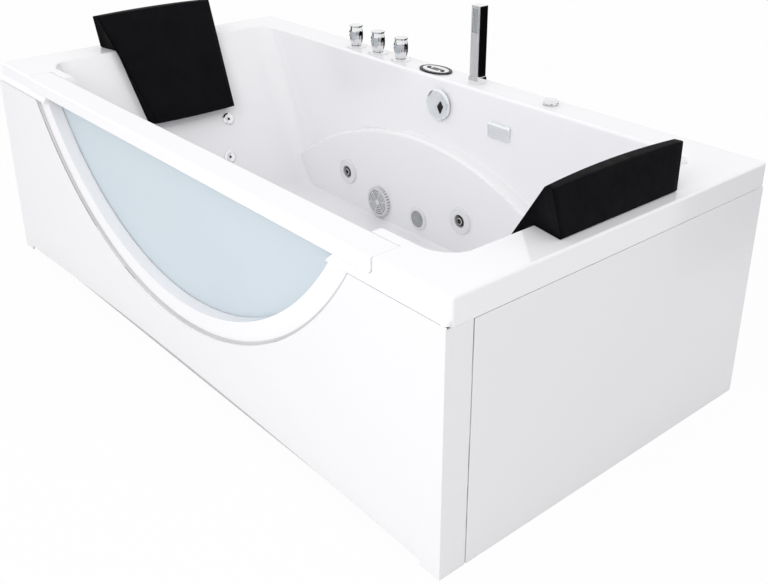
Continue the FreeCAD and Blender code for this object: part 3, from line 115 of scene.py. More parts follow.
class Grain(Enum):
    """What a surface's fine relief is made of."""

    RIPPLE = "ripple"
    CELLS = "cells"
    STREAKS = "streaks"


def new_group(name: str, inputs: dict[str, tuple[str, float]],
              outputs: dict[str, str]) -> tuple[bpy.types.NodeTree, bpy.types.Node,
                                                 bpy.types.Node]:
    """Starts a shader node group.

    Args:
        name: the group's name.
        inputs: each input's name with its socket type and default value.
        outputs: each output's name with its socket type.

    Returns:
        The tree, its input node and its output node.
    """
    tree = bpy.data.node_groups.new(name, "ShaderNodeTree")
    for key, (kind, value) in inputs.items():
        socket = tree.interface.new_socket(key, in_out="INPUT", socket_type=kind)
        if kind == "NodeSocketFloat":
            socket.default_value = value
    for key, kind in outputs.items():
        tree.interface.new_socket(key, in_out="OUTPUT", socket_type=kind)
    return tree, tree.nodes.new("NodeGroupInput"), tree.nodes.new("NodeGroupOutput")


def fill(node: bpy.types.Node, sockets: dict[str | int, object]) -> None:
    """Sets a node's input sockets, by name or number."""
    for key, value in sockets.items():
        node.inputs[key].default_value = value


def add_node(tree: bpy.types.NodeTree, kind: str,
             sockets: dict[str | int, object] | None = None,
             **values: object) -> bpy.types.Node:
    """Adds a node and sets its properties and sockets.

    Args:
        tree: the node tree.
        kind: the node's type.
        sockets: values of its input sockets.
        values: its properties by name.

    Returns:
        The node.
    """
    made = tree.nodes.new(kind)
    for key, value in values.items():
        setattr(made, key, value)
    fill(made, sockets or {})
    return made


def ray_share(tree: bpy.types.NodeTree, *rays: str) -> bpy.types.NodeSocket:
    """1 for rays of any of the named kinds, and 0 for all others.

    Args:
        tree: the node tree.
        rays: names of the Light Path node's outputs, two or more.

    Returns:
        The socket that gives the share.
    """
    path = add_node(tree, "ShaderNodeLightPath")
    result = path.outputs[rays[0]]
    for ray in rays[1:]:
        larger = add_node(tree, "ShaderNodeMath", operation="MAXIMUM")
        tree.links.new(result, larger.inputs[0])
        tree.links.new(path.outputs[ray], larger.inputs[1])
        result = larger.outputs[0]
    return result


class Effects:
    """Shader groups that several finishes share, each built once."""

    _made: dict[str, bpy.types.NodeTree] = {}
    BROAD_DETAIL = 4.0
    FINE_DETAIL = 6.0
    FINE_TIMES = 4.3
    COLOUR_RANGE = {"From Min": 0.35, "From Max": 0.65}
    GLOSS_RANGE = {"From Min": 0.3, "From Max": 0.7}
    CELL_SMOOTHNESS = 0.6
    RIPPLE_DETAIL = 3.0
    STREAK_STRETCH = (0.03, 1.0, 1.0)

    @classmethod
    def mottle(cls) -> bpy.types.NodeTree:
        """Cloudy change between two colours and two roughnesses over the surface.

        Returns:
            A group that gives a colour and a roughness.
        """
        if "mottle" in cls._made:
            return cls._made["mottle"]
        tree, start, end = new_group(
            "mottle",
            {"Vector": ("NodeSocketVector", 0), "Scale": ("NodeSocketFloat", 5.0),
             "Colour": ("NodeSocketColor", 0), "Shade": ("NodeSocketColor", 0),
             "Low": ("NodeSocketFloat", 0.2), "High": ("NodeSocketFloat", 0.3)},
            {"Colour": "NodeSocketColor", "Roughness": "NodeSocketFloat"})
        link = tree.links.new
        broad = add_node(tree, "ShaderNodeTexNoise", {"Detail": cls.BROAD_DETAIL})
        fine = add_node(tree, "ShaderNodeTexNoise", {"Detail": cls.FINE_DETAIL})
        times = add_node(tree, "ShaderNodeMath", {1: cls.FINE_TIMES}, operation="MULTIPLY")
        link(start.outputs["Scale"], times.inputs[0])
        link(start.outputs["Scale"], broad.inputs["Scale"])
        link(times.outputs[0], fine.inputs["Scale"])
        for noise in (broad, fine):
            link(start.outputs["Vector"], noise.inputs["Vector"])
        spread = add_node(tree, "ShaderNodeMapRange", cls.COLOUR_RANGE)
        link(broad.outputs["Fac"], spread.inputs["Value"])
        mix = add_node(tree, "ShaderNodeMix", data_type="RGBA")
        link(spread.outputs["Result"], mix.inputs["Factor"])
        link(start.outputs["Colour"], mix.inputs["A"])
        link(start.outputs["Shade"], mix.inputs["B"])
        rough = add_node(tree, "ShaderNodeMapRange", cls.GLOSS_RANGE)
        link(fine.outputs["Fac"], rough.inputs["Value"])
        link(start.outputs["Low"], rough.inputs["To Min"])
        link(start.outputs["High"], rough.inputs["To Max"])
        link(mix.outputs["Result"], end.inputs["Colour"])
        link(rough.outputs["Result"], end.inputs["Roughness"])
        cls._made["mottle"] = tree
        return tree

    @classmethod
    def grain(cls, kind: Grain) -> bpy.types.NodeTree:
        """Fine relief: soft ripples, leather-like cells, or streaks along one way.

        Args:
            kind: which relief.

        Returns:
            A group that gives a height between 0 and 1.
        """
        if kind.value in cls._made:
            return cls._made[kind.value]
        tree, start, end = new_group(
            "grain_" + kind.value,
            {"Vector": ("NodeSocketVector", 0), "Scale": ("NodeSocketFloat", 100.0)},
            {"Height": "NodeSocketFloat"})
        link = tree.links.new
        if kind is Grain.CELLS:
            texture = add_node(tree, "ShaderNodeTexVoronoi",
                               {"Smoothness": cls.CELL_SMOOTHNESS}, feature="SMOOTH_F1")
            result = texture.outputs["Distance"]
        else:
            texture = add_node(tree, "ShaderNodeTexNoise", {"Detail": cls.RIPPLE_DETAIL})
            result = texture.outputs["Fac"]
        vector = start.outputs["Vector"]
        if kind is Grain.STREAKS:
            stretch = add_node(tree, "ShaderNodeVectorMath", {1: cls.STREAK_STRETCH},
                               operation="MULTIPLY")
            link(vector, stretch.inputs[0])
            vector = stretch.outputs["Vector"]
        link(vector, texture.inputs["Vector"])
        link(start.outputs["Scale"], texture.inputs["Scale"])
        link(result, end.inputs["Height"])
        cls._made[kind.value] = tree
        return tree


@dataclass(frozen=True)
class Finish:
    """A surface finish: colours, gloss and relief, made into a material once."""

    name: str
    slot: str
    colour: tuple[float, float, float]
    shade: tuple[float, float, float]
    rough: tuple[float, float]
    mottle_scale: float = 4.0
    grain: Grain = Grain.RIPPLE
    grain_scale: float = 300.0
    grain_depth: float = 0.00002
    metallic: float = 0.0
    coat: float = 0.0
    see_through: float = 0.0
    specular: float = 0.5
    # A dark colour painted into a piece's recesses as shade, by a share kept on each point.
    painted_shade_colour: tuple[float, float, float] | None = None

    def material(self) -> bpy.types.Material:
        """The Blender material of this finish.

        Returns:
            The material, the same one at every call.
        """
        found = bpy.data.materials.get(self.name)
        if found:
            return found
        material = bpy.data.materials.new(self.name)
        material.use_nodes = True
        tree = material.node_tree
        link = tree.links.new
        shader = tree.nodes["Principled BSDF"]
        place = add_node(tree, "ShaderNodeTexCoord")
        mottle = add_node(tree, "ShaderNodeGroup", {
            "Scale": self.mottle_scale, "Colour": (*self.colour, 1.0),
            "Shade": (*self.shade, 1.0), "Low": self.rough[0], "High": self.rough[1],
        }, node_tree=Effects.mottle())
        link(place.outputs["Object"], mottle.inputs["Vector"])
        colour = mottle.outputs["Colour"]
        # Painted shade: points mix towards the dark recess colour by their kept share.
        if self.painted_shade_colour is not None:
            painted_shade_share = add_node(tree, "ShaderNodeAttribute", attribute_name="painted_shade_share")
            mix = add_node(tree, "ShaderNodeMix", data_type="RGBA")
            fill(mix, {"B": (*self.painted_shade_colour, 1.0)})
            link(painted_shade_share.outputs["Fac"], mix.inputs["Factor"])
            link(colour, mix.inputs["A"])
            colour = mix.outputs["Result"]
        link(colour, shader.inputs["Base Color"])
        link(mottle.outputs["Roughness"], shader.inputs["Roughness"])
        relief = add_node(tree, "ShaderNodeGroup", {"Scale": self.grain_scale},
                          node_tree=Effects.grain(self.grain))
        link(place.outputs["Object"], relief.inputs["Vector"])
        bump = add_node(tree, "ShaderNodeBump",
                        {"Strength": BUMP_STRENGTH, "Distance": self.grain_depth})
        link(relief.outputs["Height"], bump.inputs["Height"])
        link(bump.outputs["Normal"], shader.inputs["Normal"])
        fill(shader, {"Metallic": self.metallic, "Coat Weight": self.coat,
                      "Coat Roughness": COAT_ROUGHNESS,
                      "Transmission Weight": self.see_through,
                      "Specular IOR Level": self.specular})
        return material


ACRYLIC = Finish("white_acrylic", "acrylic", (0.934, 0.927, 0.939), (0.93, 0.924, 0.936),
                 (0.12, 0.17), 3.0, Grain.RIPPLE, 30.0, 0.000001, coat=0.3)
PANEL = Finish("white_panel", "acrylic", (0.884, 0.877, 0.887), (0.88, 0.874, 0.884),
               (0.275, 0.28), 2.5, Grain.RIPPLE, 40.0, 0.0000015, coat=0.1)
# Grey that stands for the shade under the apron and in the arch's slot: painted shade.
PLINTH_PAINTED_SHADE = Finish("plinth_painted_shade", "acrylic", (0.60, 0.595, 0.61), (0.56, 0.555, 0.57),
                (0.4, 0.5), 8.0, Grain.RIPPLE, 90.0, 0.00001)
GLASS = Finish("window_pane", "window", (0.80, 0.895, 0.95), (0.79, 0.887, 0.945),
               (0.05, 0.08), 2.0, Grain.RIPPLE, 8.0, 0.000002, see_through=0.38)
SEAL = Finish("seal_rubber", "seal", (0.5, 0.5, 0.49), (0.44, 0.44, 0.43), (0.5, 0.65),
              20.0, Grain.RIPPLE, 700.0, 0.00003)
CHROME = Finish("polished_chrome", "chrome", (0.84, 0.845, 0.855), (0.8, 0.805, 0.815),
                (0.04, 0.08), 25.0, Grain.RIPPLE, 140.0, 0.000002, metallic=1.0)
# Chrome with a pale, partly diffuse colour that paints in the brightness of its reflections:
# painted sheen.
CHROME_PAINTED_SHEEN = Finish("chrome_painted_sheen", "chrome", (0.9, 0.925, 0.94), (0.88, 0.905, 0.92),
                (0.08, 0.14), 25.0, Grain.RIPPLE, 140.0, 0.000002, metallic=0.7)
BRIGHT_PLASTIC = Finish("bright_plastic", "chrome", (0.83, 0.83, 0.84),
                        (0.80, 0.80, 0.81), (0.16, 0.26), 40.0, Grain.RIPPLE, 500.0,
                        0.00001, coat=0.3)
# Its near-black colour is painted shade inside the jet's nozzle.
NOZZLE = replace(BRIGHT_PLASTIC, name="jet_nozzle", colour=(0.90, 0.90, 0.91),
                 shade=(0.87, 0.87, 0.88), painted_shade_colour=(0.004, 0.004, 0.005))
# Its dark grey is painted shade for the cover's slots and rib gaps.
GRILLE = Finish("suction_grille", "chrome", (0.80, 0.80, 0.81), (0.77, 0.77, 0.78),
                (0.2, 0.3), 40.0, Grain.RIPPLE, 500.0, 0.00001, coat=0.2,
                painted_shade_colour=(0.22, 0.22, 0.225))
GALVANISED = Finish("galvanised_steel", "steel", (0.55, 0.57, 0.59), (0.42, 0.44, 0.46),
                    (0.32, 0.5), 60.0, Grain.CELLS, 180.0, 0.00002, metallic=0.85)
BOARD = Finish("resin_board", "board", (0.52, 0.38, 0.23), (0.36, 0.25, 0.15), (0.55, 0.75),
               35.0, Grain.STREAKS, 900.0, 0.00015)
PADDING = Finish("black_padding", "padding", (0.0025, 0.002, 0.003),
                 (0.004, 0.0035, 0.0045), (0.55, 0.68), 14.0, Grain.CELLS, 900.0, 0.0001,
                 specular=0.06)
RUBBER = Finish("black_rubber", "rubber", (0.02, 0.02, 0.02), (0.03, 0.03, 0.03),
                (0.6, 0.8), 30.0, Grain.RIPPLE, 900.0, 0.00006)
BLACK = Finish("black_plastic", "black", (0.006, 0.006, 0.007), (0.01, 0.01, 0.011),
               (0.25, 0.4), 30.0, Grain.RIPPLE, 800.0, 0.00001, specular=0.25)
DISPLAY = Finish("dark_display", "display", (0.015, 0.017, 0.02), (0.022, 0.025, 0.03),
                 (0.15, 0.25), 60.0, Grain.RIPPLE, 300.0, 0.000004, specular=0.3)
GREY_PLASTIC = Finish("grey_plastic", "grey_plastic", (0.24, 0.245, 0.25),
                      (0.2, 0.205, 0.21), (0.42, 0.58), 25.0, Grain.CELLS, 1400.0, 0.00003)
PIPE = Finish("white_pipe", "white_pipe", (0.72, 0.72, 0.7), (0.64, 0.64, 0.62),
              (0.3, 0.45), 12.0, Grain.RIPPLE, 250.0, 0.00004)
PUMP_SHELL = Finish("pump_plastic", "pump_shell", (0.025, 0.025, 0.027),
                    (0.04, 0.04, 0.042), (0.4, 0.6), 22.0, Grain.CELLS, 700.0, 0.00006)
MOTOR = Finish("motor_enamel", "motor", (0.03, 0.045, 0.08), (0.045, 0.06, 0.095),
               (0.3, 0.5), 18.0, Grain.CELLS, 600.0, 0.00008, metallic=0.2)
BRASS = Finish("cast_brass", "brass", (0.62, 0.45, 0.2), (0.48, 0.34, 0.15), (0.3, 0.5),
               30.0, Grain.CELLS, 500.0, 0.00012, metallic=0.95)
LENS = Finish("lamp_lens", "lens", (0.36, 0.37, 0.38), (0.3, 0.31, 0.32), (0.12, 0.2),
              60.0, Grain.CELLS, 420.0, 0.00025, coat=0.4)
BRAID = Finish("braided_steel", "hose", (0.55, 0.555, 0.56), (0.4, 0.405, 0.41),
               (0.25, 0.42), 90.0, Grain.CELLS, 900.0, 0.0002, metallic=0.9)


# ------------------------------------------------------------------ meshes

def grid_faces(rows: int, columns: int, wrap: bool) -> np.ndarray:
    """Quads of a grid of points, row by row.

    Args:
        rows: points along the first parameter.
        columns: points along the second parameter.
        wrap: whether the last column joins the first.

    Returns:
        An array of four point numbers for each quad.
    """
    last = columns if wrap else columns - 1
    row, column = np.meshgrid(np.arange(rows - 1), np.arange(last), indexing="ij")
    beside = (column + 1) % columns
    corners = (row * columns + column, row * columns + beside,
               (row + 1) * columns + beside, (row + 1) * columns + column)
    return np.stack(corners, axis=-1).reshape(-1, 4)


def mesh_object(name: str, points: np.ndarray, faces: np.ndarray) -> bpy.types.Object:
    """A mesh object from whole arrays, its doubles merged and its faces turned out.

    Args:
        name: the piece's name.
        points: coordinates in metres, one row each.
        faces: point numbers of each quad.

    Returns:
        The object, linked to the scene.
    """
    mesh = bpy.data.meshes.new(name)
    mesh.from_pydata(points.reshape(-1, 3).tolist(), [], faces.tolist())
    work = bmesh.new()
    work.from_mesh(mesh)
    bmesh.ops.remove_doubles(work, verts=work.verts, dist=SAME_POINT)
    bmesh.ops.dissolve_degenerate(work, edges=work.edges, dist=NO_LENGTH)
    bmesh.ops.recalc_face_normals(work, faces=work.faces)
    work.to_mesh(mesh)
    work.free()
    return add_object(name, mesh)


def soften(piece: bpy.types.Object, width: float = 0.0, crease: float = CREASE) -> None:
    """Rounds a piece's sharp edges and shades it smoothly between creases.

    Args:
        piece: the object.
        width: the rounding in metres, or 0 for none.
        crease: edges that turn more than this many degrees are sharp.
    """
    piece.data.shade_smooth()
    limit = math.radians(crease)
    if width:
        bevel = piece.modifiers.new("rounding", "BEVEL")
        bevel.width = width
        bevel.segments = ROUNDING_FACETS
        bevel.limit_method = "ANGLE"
        bevel.angle_limit = limit
        bevel.miter_outer = "MITER_ARC"
    work = bmesh.new()
    work.from_mesh(piece.data)
    for edge in work.edges:
        edge.smooth = not (edge.is_manifold and edge.calc_face_angle(0.0) > limit) \
            or bool(width)
    work.to_mesh(piece.data)
    work.free()
    weighted = piece.modifiers.new("normals", "WEIGHTED_NORMAL")
    weighted.keep_sharp = True
    weighted.weight = NORMAL_WEIGHT


def lathe(name: str, profile: list[tuple[float, float]], at: Point,
          axis: Point = (0.0, 0.0, 1.0), sectors: int = 64,
          relief: Callable[[np.ndarray, np.ndarray], np.ndarray] | None = None,
          ) -> bpy.types.Object:
    """A turned piece.

    The point at angle a of a profile corner (r, z) is r cos a and r sin a across the axis
    and z along it; a relief function of angle and height scales r.

    Args:
        name: the piece's name.
        profile: (radius, height) corners in metres, from one end to the other.
        at: where the profile's origin lies.
        axis: the way that heights grow.
        sectors: points round the axis.
        relief: None, or a function of the angle and height arrays.

    Returns:
        The object.
    """
    radius, height = np.array(profile, float).T
    angle = np.linspace(0.0, 2 * math.pi, sectors, endpoint=False)
    turn, along = np.meshgrid(angle, height)
    wide = np.repeat(radius[:, None], sectors, axis=1)
    if relief is not None:
        wide = wide * relief(turn, along)
    points = np.stack([wide * np.cos(turn), wide * np.sin(turn), along], axis=-1)
    turned = np.array(Vector(axis).to_track_quat("Z", "Y").to_matrix())
    points = points @ turned.T + np.array(at)
    return mesh_object(name, points, grid_faces(len(radius), sectors, True))


def closed_sweep(name: str, rings: np.ndarray) -> bpy.types.Object:
    """A solid skin through closed rings of points, its first and last ring capped.

    Args:
        name: the piece's name.
        rings: points in metres, by ring, by place round the ring.

    Returns:
        The object.
    """
    ends = [np.repeat(rings[at].mean(axis=0)[None, None, :], rings.shape[1], axis=1)
            for at in (0, -1)]
    points = np.concatenate([ends[0], rings, ends[1]])
    return mesh_object(name, points, grid_faces(points.shape[0], points.shape[1], True))


def paint_shade(piece: bpy.types.Object, share: np.ndarray) -> None:
    """Keeps on each point how much of its finish's painted shade colour it takes."""
    painted_shade_share = piece.data.attributes.new("painted_shade_share", "FLOAT", "POINT")
    painted_shade_share.data.foreach_set("value", np.clip(share, 0.0, 1.0).astype(np.float32))


def places(piece: bpy.types.Object) -> np.ndarray:
    """A mesh's points.

    Args:
        piece: the object.

    Returns:
        The coordinates in metres, one row each.
    """
    flat = np.empty(len(piece.data.vertices) * 3, np.float32)
    piece.data.vertices.foreach_get("co", flat)
    return flat.reshape(-1, 3)


class Assembly:
    """A sub-assembly: it dresses its nodes and adds the pieces that they need."""

    def build(self) -> None:
        """Builds every piece of the sub-assembly."""
        raise NotImplementedError

    @staticmethod
    def dress(piece: bpy.types.Object, finish: Finish, body: str,
              *nodes: str) -> bpy.types.Object:
        """Gives a piece its finish, its body and the nodes that it stands for.

        Args:
            piece: the object.
            finish: its surface.
            body: the CAD body that it moves with.
            nodes: CAD nodes that it replaces.

        Returns:
            The same object.
        """
        piece.data.materials.clear()
        piece.data.materials.append(finish.material())
        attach(piece, body)
        if nodes:
            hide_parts(*nodes)
        LOG.info("%s: %s in %s", body, piece.name, finish.name)
        return piece

    @classmethod
    def reskin(cls, node: str, finish: Finish, rounding: float = 0.0,
               crease: float = CREASE) -> bpy.types.Object:
        """A merged copy of a CAD node, with its edges rounded and its faces smooth.

        Args:
            node: the CAD node's name.
            finish: its surface.
            rounding: edge rounding in metres.
            crease: sharp edges turn more than this many degrees.

        Returns:
            The new piece, which replaces the node.
        """
        mesh = frame["nodes"][node].data.copy()
        mesh.name = node + "_skin"
        work = bmesh.new()
        work.from_mesh(mesh)
        bmesh.ops.remove_doubles(work, verts=work.verts, dist=CAD_SAME_POINT)
        bmesh.ops.dissolve_limit(work, angle_limit=math.radians(FLAT_DEGREES),
                                 verts=work.verts, edges=work.edges)
        work.to_mesh(mesh)
        work.free()
        piece = add_object(node + "_skin", mesh)
        soften(piece, rounding, crease)
        return cls.dress(piece, finish, body_of(node), node)


# ------------------------------------------------------------------ sub-assemblies

@dataclass
class Casing(Assembly):
    """Shell, rail, panels and plinth, with the strip along the apron's arch; plinth and
    strip are grey as painted shade.
    """

    edge: float = 0.8 * MM
    panel_edge: float = 0.9 * MM
    screw_edge: float = 0.5 * MM
    arch_centre: float = 0.910
    arch_reach: float = 58.2
    strip_inner: float = 0.7655
    strip_outer: float = 0.7712
    strip_back: float = -0.4440
    strip_front: float = -0.4507
    strip_corner: float = -0.4490
    strip_slope: float = 0.002
    strip_steps: int = 97
    ledge: tuple[tuple[float, float], ...] = (
        (0.0, 0.5065), (0.0097, 0.5065), (0.0097, 0.5128), (0.0004, 0.521), (0.0, 0.521))
    ledge_out: float = 0.890
    ledge_front: float = -0.4451

    def build(self) -> None:
        """Dresses the white outside of the tub."""
        self.reskin("tub_shell", ACRYLIC, self.edge)
        self.reskin("window_rail", ACRYLIC, self.edge)
        for node in ("front_panel", "left_panel", "right_panel"):
            self.reskin(node, PANEL, self.panel_edge)
        # The plinth strip is grey for the painted shade under the apron.
        self.reskin("plinth_strip", PLINTH_PAINTED_SHADE, self.edge)
        self.reskin("plinth_screws", CHROME, self.screw_edge)
        self.reskin("panel_clips", GREY_PLASTIC, self.edge)
        self.trim()

    def trim(self) -> None:
        """Fills the slot along the apron's arch with a grey strip, a painted shadow line,
        and caps the ledge's two ends.

        The point of the strip at angle a and section corner (r, y) is r sin a along X and
        the arch's centre less r cos a up.
        """
        low, high = self.strip_inner, self.strip_outer
        section = np.array([(low, self.strip_back), (high, self.strip_back),
                            (high, self.strip_front),
                            (low + self.strip_slope, self.strip_front),
                            (low, self.strip_corner)])
        angle = np.radians(np.linspace(-self.arch_reach, self.arch_reach, self.strip_steps))
        radius, depth = section.T
        rings = np.stack([np.sin(angle)[:, None] * radius,
                          np.tile(depth, (self.strip_steps, 1)),
                          self.arch_centre - np.cos(angle)[:, None] * radius], axis=-1)
        # The strip is grey as a painted shadow line in the slot.
        self.dress(closed_sweep("arch_strip", rings), PLINTH_PAINTED_SHADE, "tub")
        for side, name in ((-1, "left"), (1, "right")):
            cap = lathe("ledge_end_" + name, list(self.ledge),
                        (side * self.ledge_out, self.ledge_front, 0.0))
            soften(cap)
            self.dress(cap, ACRYLIC, "tub")


@dataclass
class Window(Assembly):
    """The pane and its seal."""

    pane_edge: float = 0.6 * MM

    def build(self) -> None:
        """Dresses the pane and its seal."""
        self.reskin("window_glass", GLASS, self.pane_edge)
        self.reskin("window_seal", SEAL)


@dataclass
class Underframe(Assembly):
    """Steel tubes, board and feet under the basin."""

    tube_edge: float = 0.7 * MM
    board_edge: float = 0.8 * MM
    foot_edge: float = 0.6 * MM

    def build(self) -> None:
        """Dresses the frame."""
        for node in ("frame_long_rails", "frame_cross_rails", "frame_posts"):
            self.reskin(node, GALVANISED, self.tube_edge)
        self.reskin("base_board", BOARD, self.board_edge)
        self.reskin("levelling_feet", GREY_PLASTIC, self.foot_edge)


@dataclass
class Headrest(Assembly):
    """A wedge of skinned foam that hangs over the rim at one end."""

    side: int
    node: str
    suckers: str
    body: str
    deck: float = 0.5556
    top: float = 0.6503
    foot: float = 0.365
    back: float = 0.8732
    lean: float = 0.0115
    top_depth: float = 0.019
    thickness: float = 0.040
    half_top: float = 0.184
    half_deck: float = 0.168
    half_foot: float = 0.130
    middle: float = 0.008
    roll: float = 0.0035
    bow: float = 0.007
    wall_at_deck: float = 0.7973
    wall_slope: float = 0.6
    arc_steps: int = 6
    slices: int = 25
    core: tuple[float, float] = (0.802, 0.578)
    fade: float = 0.02
    fill: float = 0.9
    sucker_edge: float = 0.3 * MM

    def wall(self, height: float | np.ndarray) -> float | np.ndarray:
        """How far out the basin's end wall is at a height."""
        return self.wall_at_deck - self.wall_slope * (self.deck - height)

    def outline(self) -> np.ndarray:
        """Corners of the wedge seen from the front.

        Returns:
            The corners: along X from the middle, and up.
        """
        back_top = self.back - self.lean
        wall = self.wall(self.foot)
        return np.array([(self.back, self.deck), (back_top, self.top),
                         (back_top - self.top_depth, self.top),
                         (wall - self.thickness, self.foot + 0.004),
                         (wall, self.foot), (self.wall(self.deck), self.deck)])

    def half_width(self, along: np.ndarray, up: np.ndarray) -> np.ndarray:
        """Half the pad's width: it grows evenly outwards, and with height over the deck.

        Args:
            along: distances from the tub's middle.
            up: heights.

        Returns:
            The half widths.
        """
        foot = self.wall(self.foot) - self.thickness
        front = self.back - self.lean - self.top_depth
        spread = (self.half_deck - self.half_foot) / (self.back - foot)
        at_top = self.half_foot + spread * (front - foot)
        flare = (self.half_top - at_top) / (self.top - self.deck)
        return self.half_foot + spread * (along - foot) \
            + flare * np.maximum(up - self.deck, 0.0)

    def build(self) -> None:
        """Builds the pad and its suckers.

        Round the wedge, each corner is an arc of the roll radius; across, a slice at share
        v of the half width bows forward by bow times 1 - v squared, and its last slices
        draw in along a quarter circle.
        """
        steps = self.arc_steps
        rounded = round_corners(self.outline(), self.roll, steps)
        centre = np.array(self.core)
        edge = np.linspace(0.0, math.pi / 2, steps)
        middle = np.linspace(-1.0, 1.0, self.slices)
        flat_part = np.zeros(self.slices - 2)
        share = np.concatenate([-np.ones(steps), middle[1:-1], np.ones(steps)])
        tuck = np.concatenate([self.roll * (1 - np.sin(edge)), flat_part,
                               self.roll * (1 - np.cos(edge))])
        lift = np.concatenate([self.roll * (1 - np.cos(edge))[::-1], flat_part,
                               self.roll * (1 - np.cos(edge))])
        share = np.concatenate([[-1.0], share, [1.0]])
        tuck = np.concatenate([[1.0], tuck, [1.0]])
        lift = np.concatenate([[lift[0]], lift, [lift[-1]]])
        away = rounded - centre
        reach = np.linalg.norm(away, axis=1)
        shrink = np.clip(1 - tuck[:, None] / reach[None, :], 0.0, 1.0)
        flat = centre + away[None, :, :] * shrink[:, :, None]
        half = self.half_width(flat[:, :, 0], flat[:, :, 1])
        rise = 1 - share[:, None] ** 2
        front = np.clip((self.back - 0.004 - flat[:, :, 0]) / self.fade, 0.0, 1.0)
        over_deck = np.clip((flat[:, :, 1] - 0.6) / 0.05, 0.0, 1.0)
        along = flat[:, :, 0] - self.bow * rise * front * self.free(flat)
        up = flat[:, :, 1] + 0.6 * self.bow * rise * over_deck
        across = share[:, None] * half - np.sign(share)[:, None] * lift[:, None]
        points = np.stack([self.side * along, across + self.middle, up], axis=-1)
        faces = grid_faces(points.shape[0], points.shape[1], True)
        pad = mesh_object(self.node + "_pad", points, faces)
        pad.data.shade_smooth()
        self.dress(pad, PADDING, self.body, self.node)
        self.reskin(self.suckers, RUBBER, self.sucker_edge)

    def free(self, flat: np.ndarray) -> np.ndarray:
        """How free each point is to bow.

        Args:
            flat: points seen from the front.

        Returns:
            1 on the free front of the wedge and 0 on what lies against the tub.
        """
        wall = self.wall(flat[:, :, 1])
        seat = np.where(flat[:, :, 1] > 0.57, self.back, wall)
        return np.clip((seat - 0.012 - flat[:, :, 0]) / self.fade, 0.0, 1.0)


def round_corners(corners: np.ndarray, radius: float, steps: int) -> np.ndarray:
    """A closed outline with each corner turned into an arc.

    An arc's centre lies on the corner's bisector; its points go round from one tangent
    point to the other in equal angles.

    Args:
        corners: the outline's corners.
        radius: the arc's radius.
        steps: points in each arc.

    Returns:
        The rounded outline's points.
    """
    before = np.roll(corners, 1, axis=0) - corners
    after = np.roll(corners, -1, axis=0) - corners
    before /= np.linalg.norm(before, axis=1)[:, None]
    after /= np.linalg.norm(after, axis=1)[:, None]
    opening = np.arccos(np.clip((before * after).sum(axis=1), -1, 1))
    middle = before + after
    middle /= np.linalg.norm(middle, axis=1)[:, None]
    centre = corners + middle * (radius / np.sin(opening / 2))[:, None]
    start = corners + before * (radius / np.tan(opening / 2))[:, None] - centre
    end = corners + after * (radius / np.tan(opening / 2))[:, None] - centre
    sweep = np.arctan2(start[:, 0] * end[:, 1] - start[:, 1] * end[:, 0],
                       (start * end).sum(axis=1))
    share = np.linspace(0, 1, steps)
    turn = sweep[:, None] * share[None, :]
    x = start[:, 0:1] * np.cos(turn) - start[:, 1:2] * np.sin(turn)
    y = start[:, 0:1] * np.sin(turn) + start[:, 1:2] * np.cos(turn)
    points = np.stack([x, y], axis=-1) + centre[:, None, :]
    return points.reshape(-1, 2)


@dataclass
class Plain(Assembly):
    """Fittings whose solids are dressed as they are."""

    dresses: dict[str, tuple[Finish, float]]

    def build(self) -> None:
        """Dresses each node."""
        for node, (finish, rounding) in self.dresses.items():
            self.reskin(node, finish, rounding)


@dataclass
class Tap(Assembly):
    """A fluted tap handle with two small marks."""

    name: str
    along: float
    start: float = 0.5616
    high: float = 0.057
    wide: float = 0.020
    depth: float = 0.412
    flutes: int = 12
    flute_share: float = 0.05
    sectors: int = 144
    mark_way: Point = (-0.42, -0.907, 0.0)
    mark_heights: tuple[float, float] = (0.68, 0.5)
    mark_out: float = 0.97
    mark: tuple[tuple[float, float], ...] = (
        (0.0, -0.002), (0.0026, -0.002), (0.0026, 0.0006), (0.0018, 0.0011), (0.0, 0.0012))
    belly_heights: tuple[float, ...] = (0.06, 0.3, 0.5, 0.72, 0.9)
    belly: tuple[float, ...] = (0.8, 0.97, 1.0, 0.96, 0.84)

    def build(self) -> None:
        """Turns the barrel, whose radius dips at each flute, most at mid height."""
        high, wide = self.high, self.wide
        share = np.linspace(self.belly_heights[0], self.belly_heights[-1], 22)
        belly = np.interp(share, self.belly_heights, self.belly)
        profile = [(0.0, 0.0), (wide * 0.76, 0.0)]
        profile += [(wide * r, high * z) for r, z in zip(belly, share)]
        profile += [(wide * 0.84, high * 0.93), (wide * 0.98, high * 0.945),
                    (wide * 0.98, high * 0.985), (wide * 0.94, high), (0.0, high)]

        def dips(turn: np.ndarray, along: np.ndarray) -> np.ndarray:
            """How each flute narrows the barrel: a sine of height times a cosine of angle.

            Args:
                turn: angles.
                along: heights over the barrel's foot.

            Returns:
                Factors of the radius.
            """
            part = np.clip((along / high - 0.1) / 0.76, 0.0, 1.0)
            wave = 0.5 + 0.5 * np.cos(self.flutes * turn)
            return 1 - self.flute_share * np.sin(np.pi * part) ** 0.6 * wave ** 2

        node = "tap_handle_" + self.name
        handle = lathe("tap_barrel_" + self.name, profile,
                       (self.along, self.depth, self.start), sectors=self.sectors,
                       relief=dips)
        soften(handle, crease=TURNED_CREASE)
        self.dress(handle, CHROME, body_of(node), node)
        way = self.mark_way
        for number, share in enumerate(self.mark_heights, 1):
            at = (self.along + way[0] * wide * self.mark_out,
                  self.depth + way[1] * wide * self.mark_out, self.start + high * share)
            dot = lathe(f"tap_mark_{self.name}_{number}", list(self.mark), at, way, 24)
            soften(dot)
            self.dress(dot, BLACK, body_of(node))


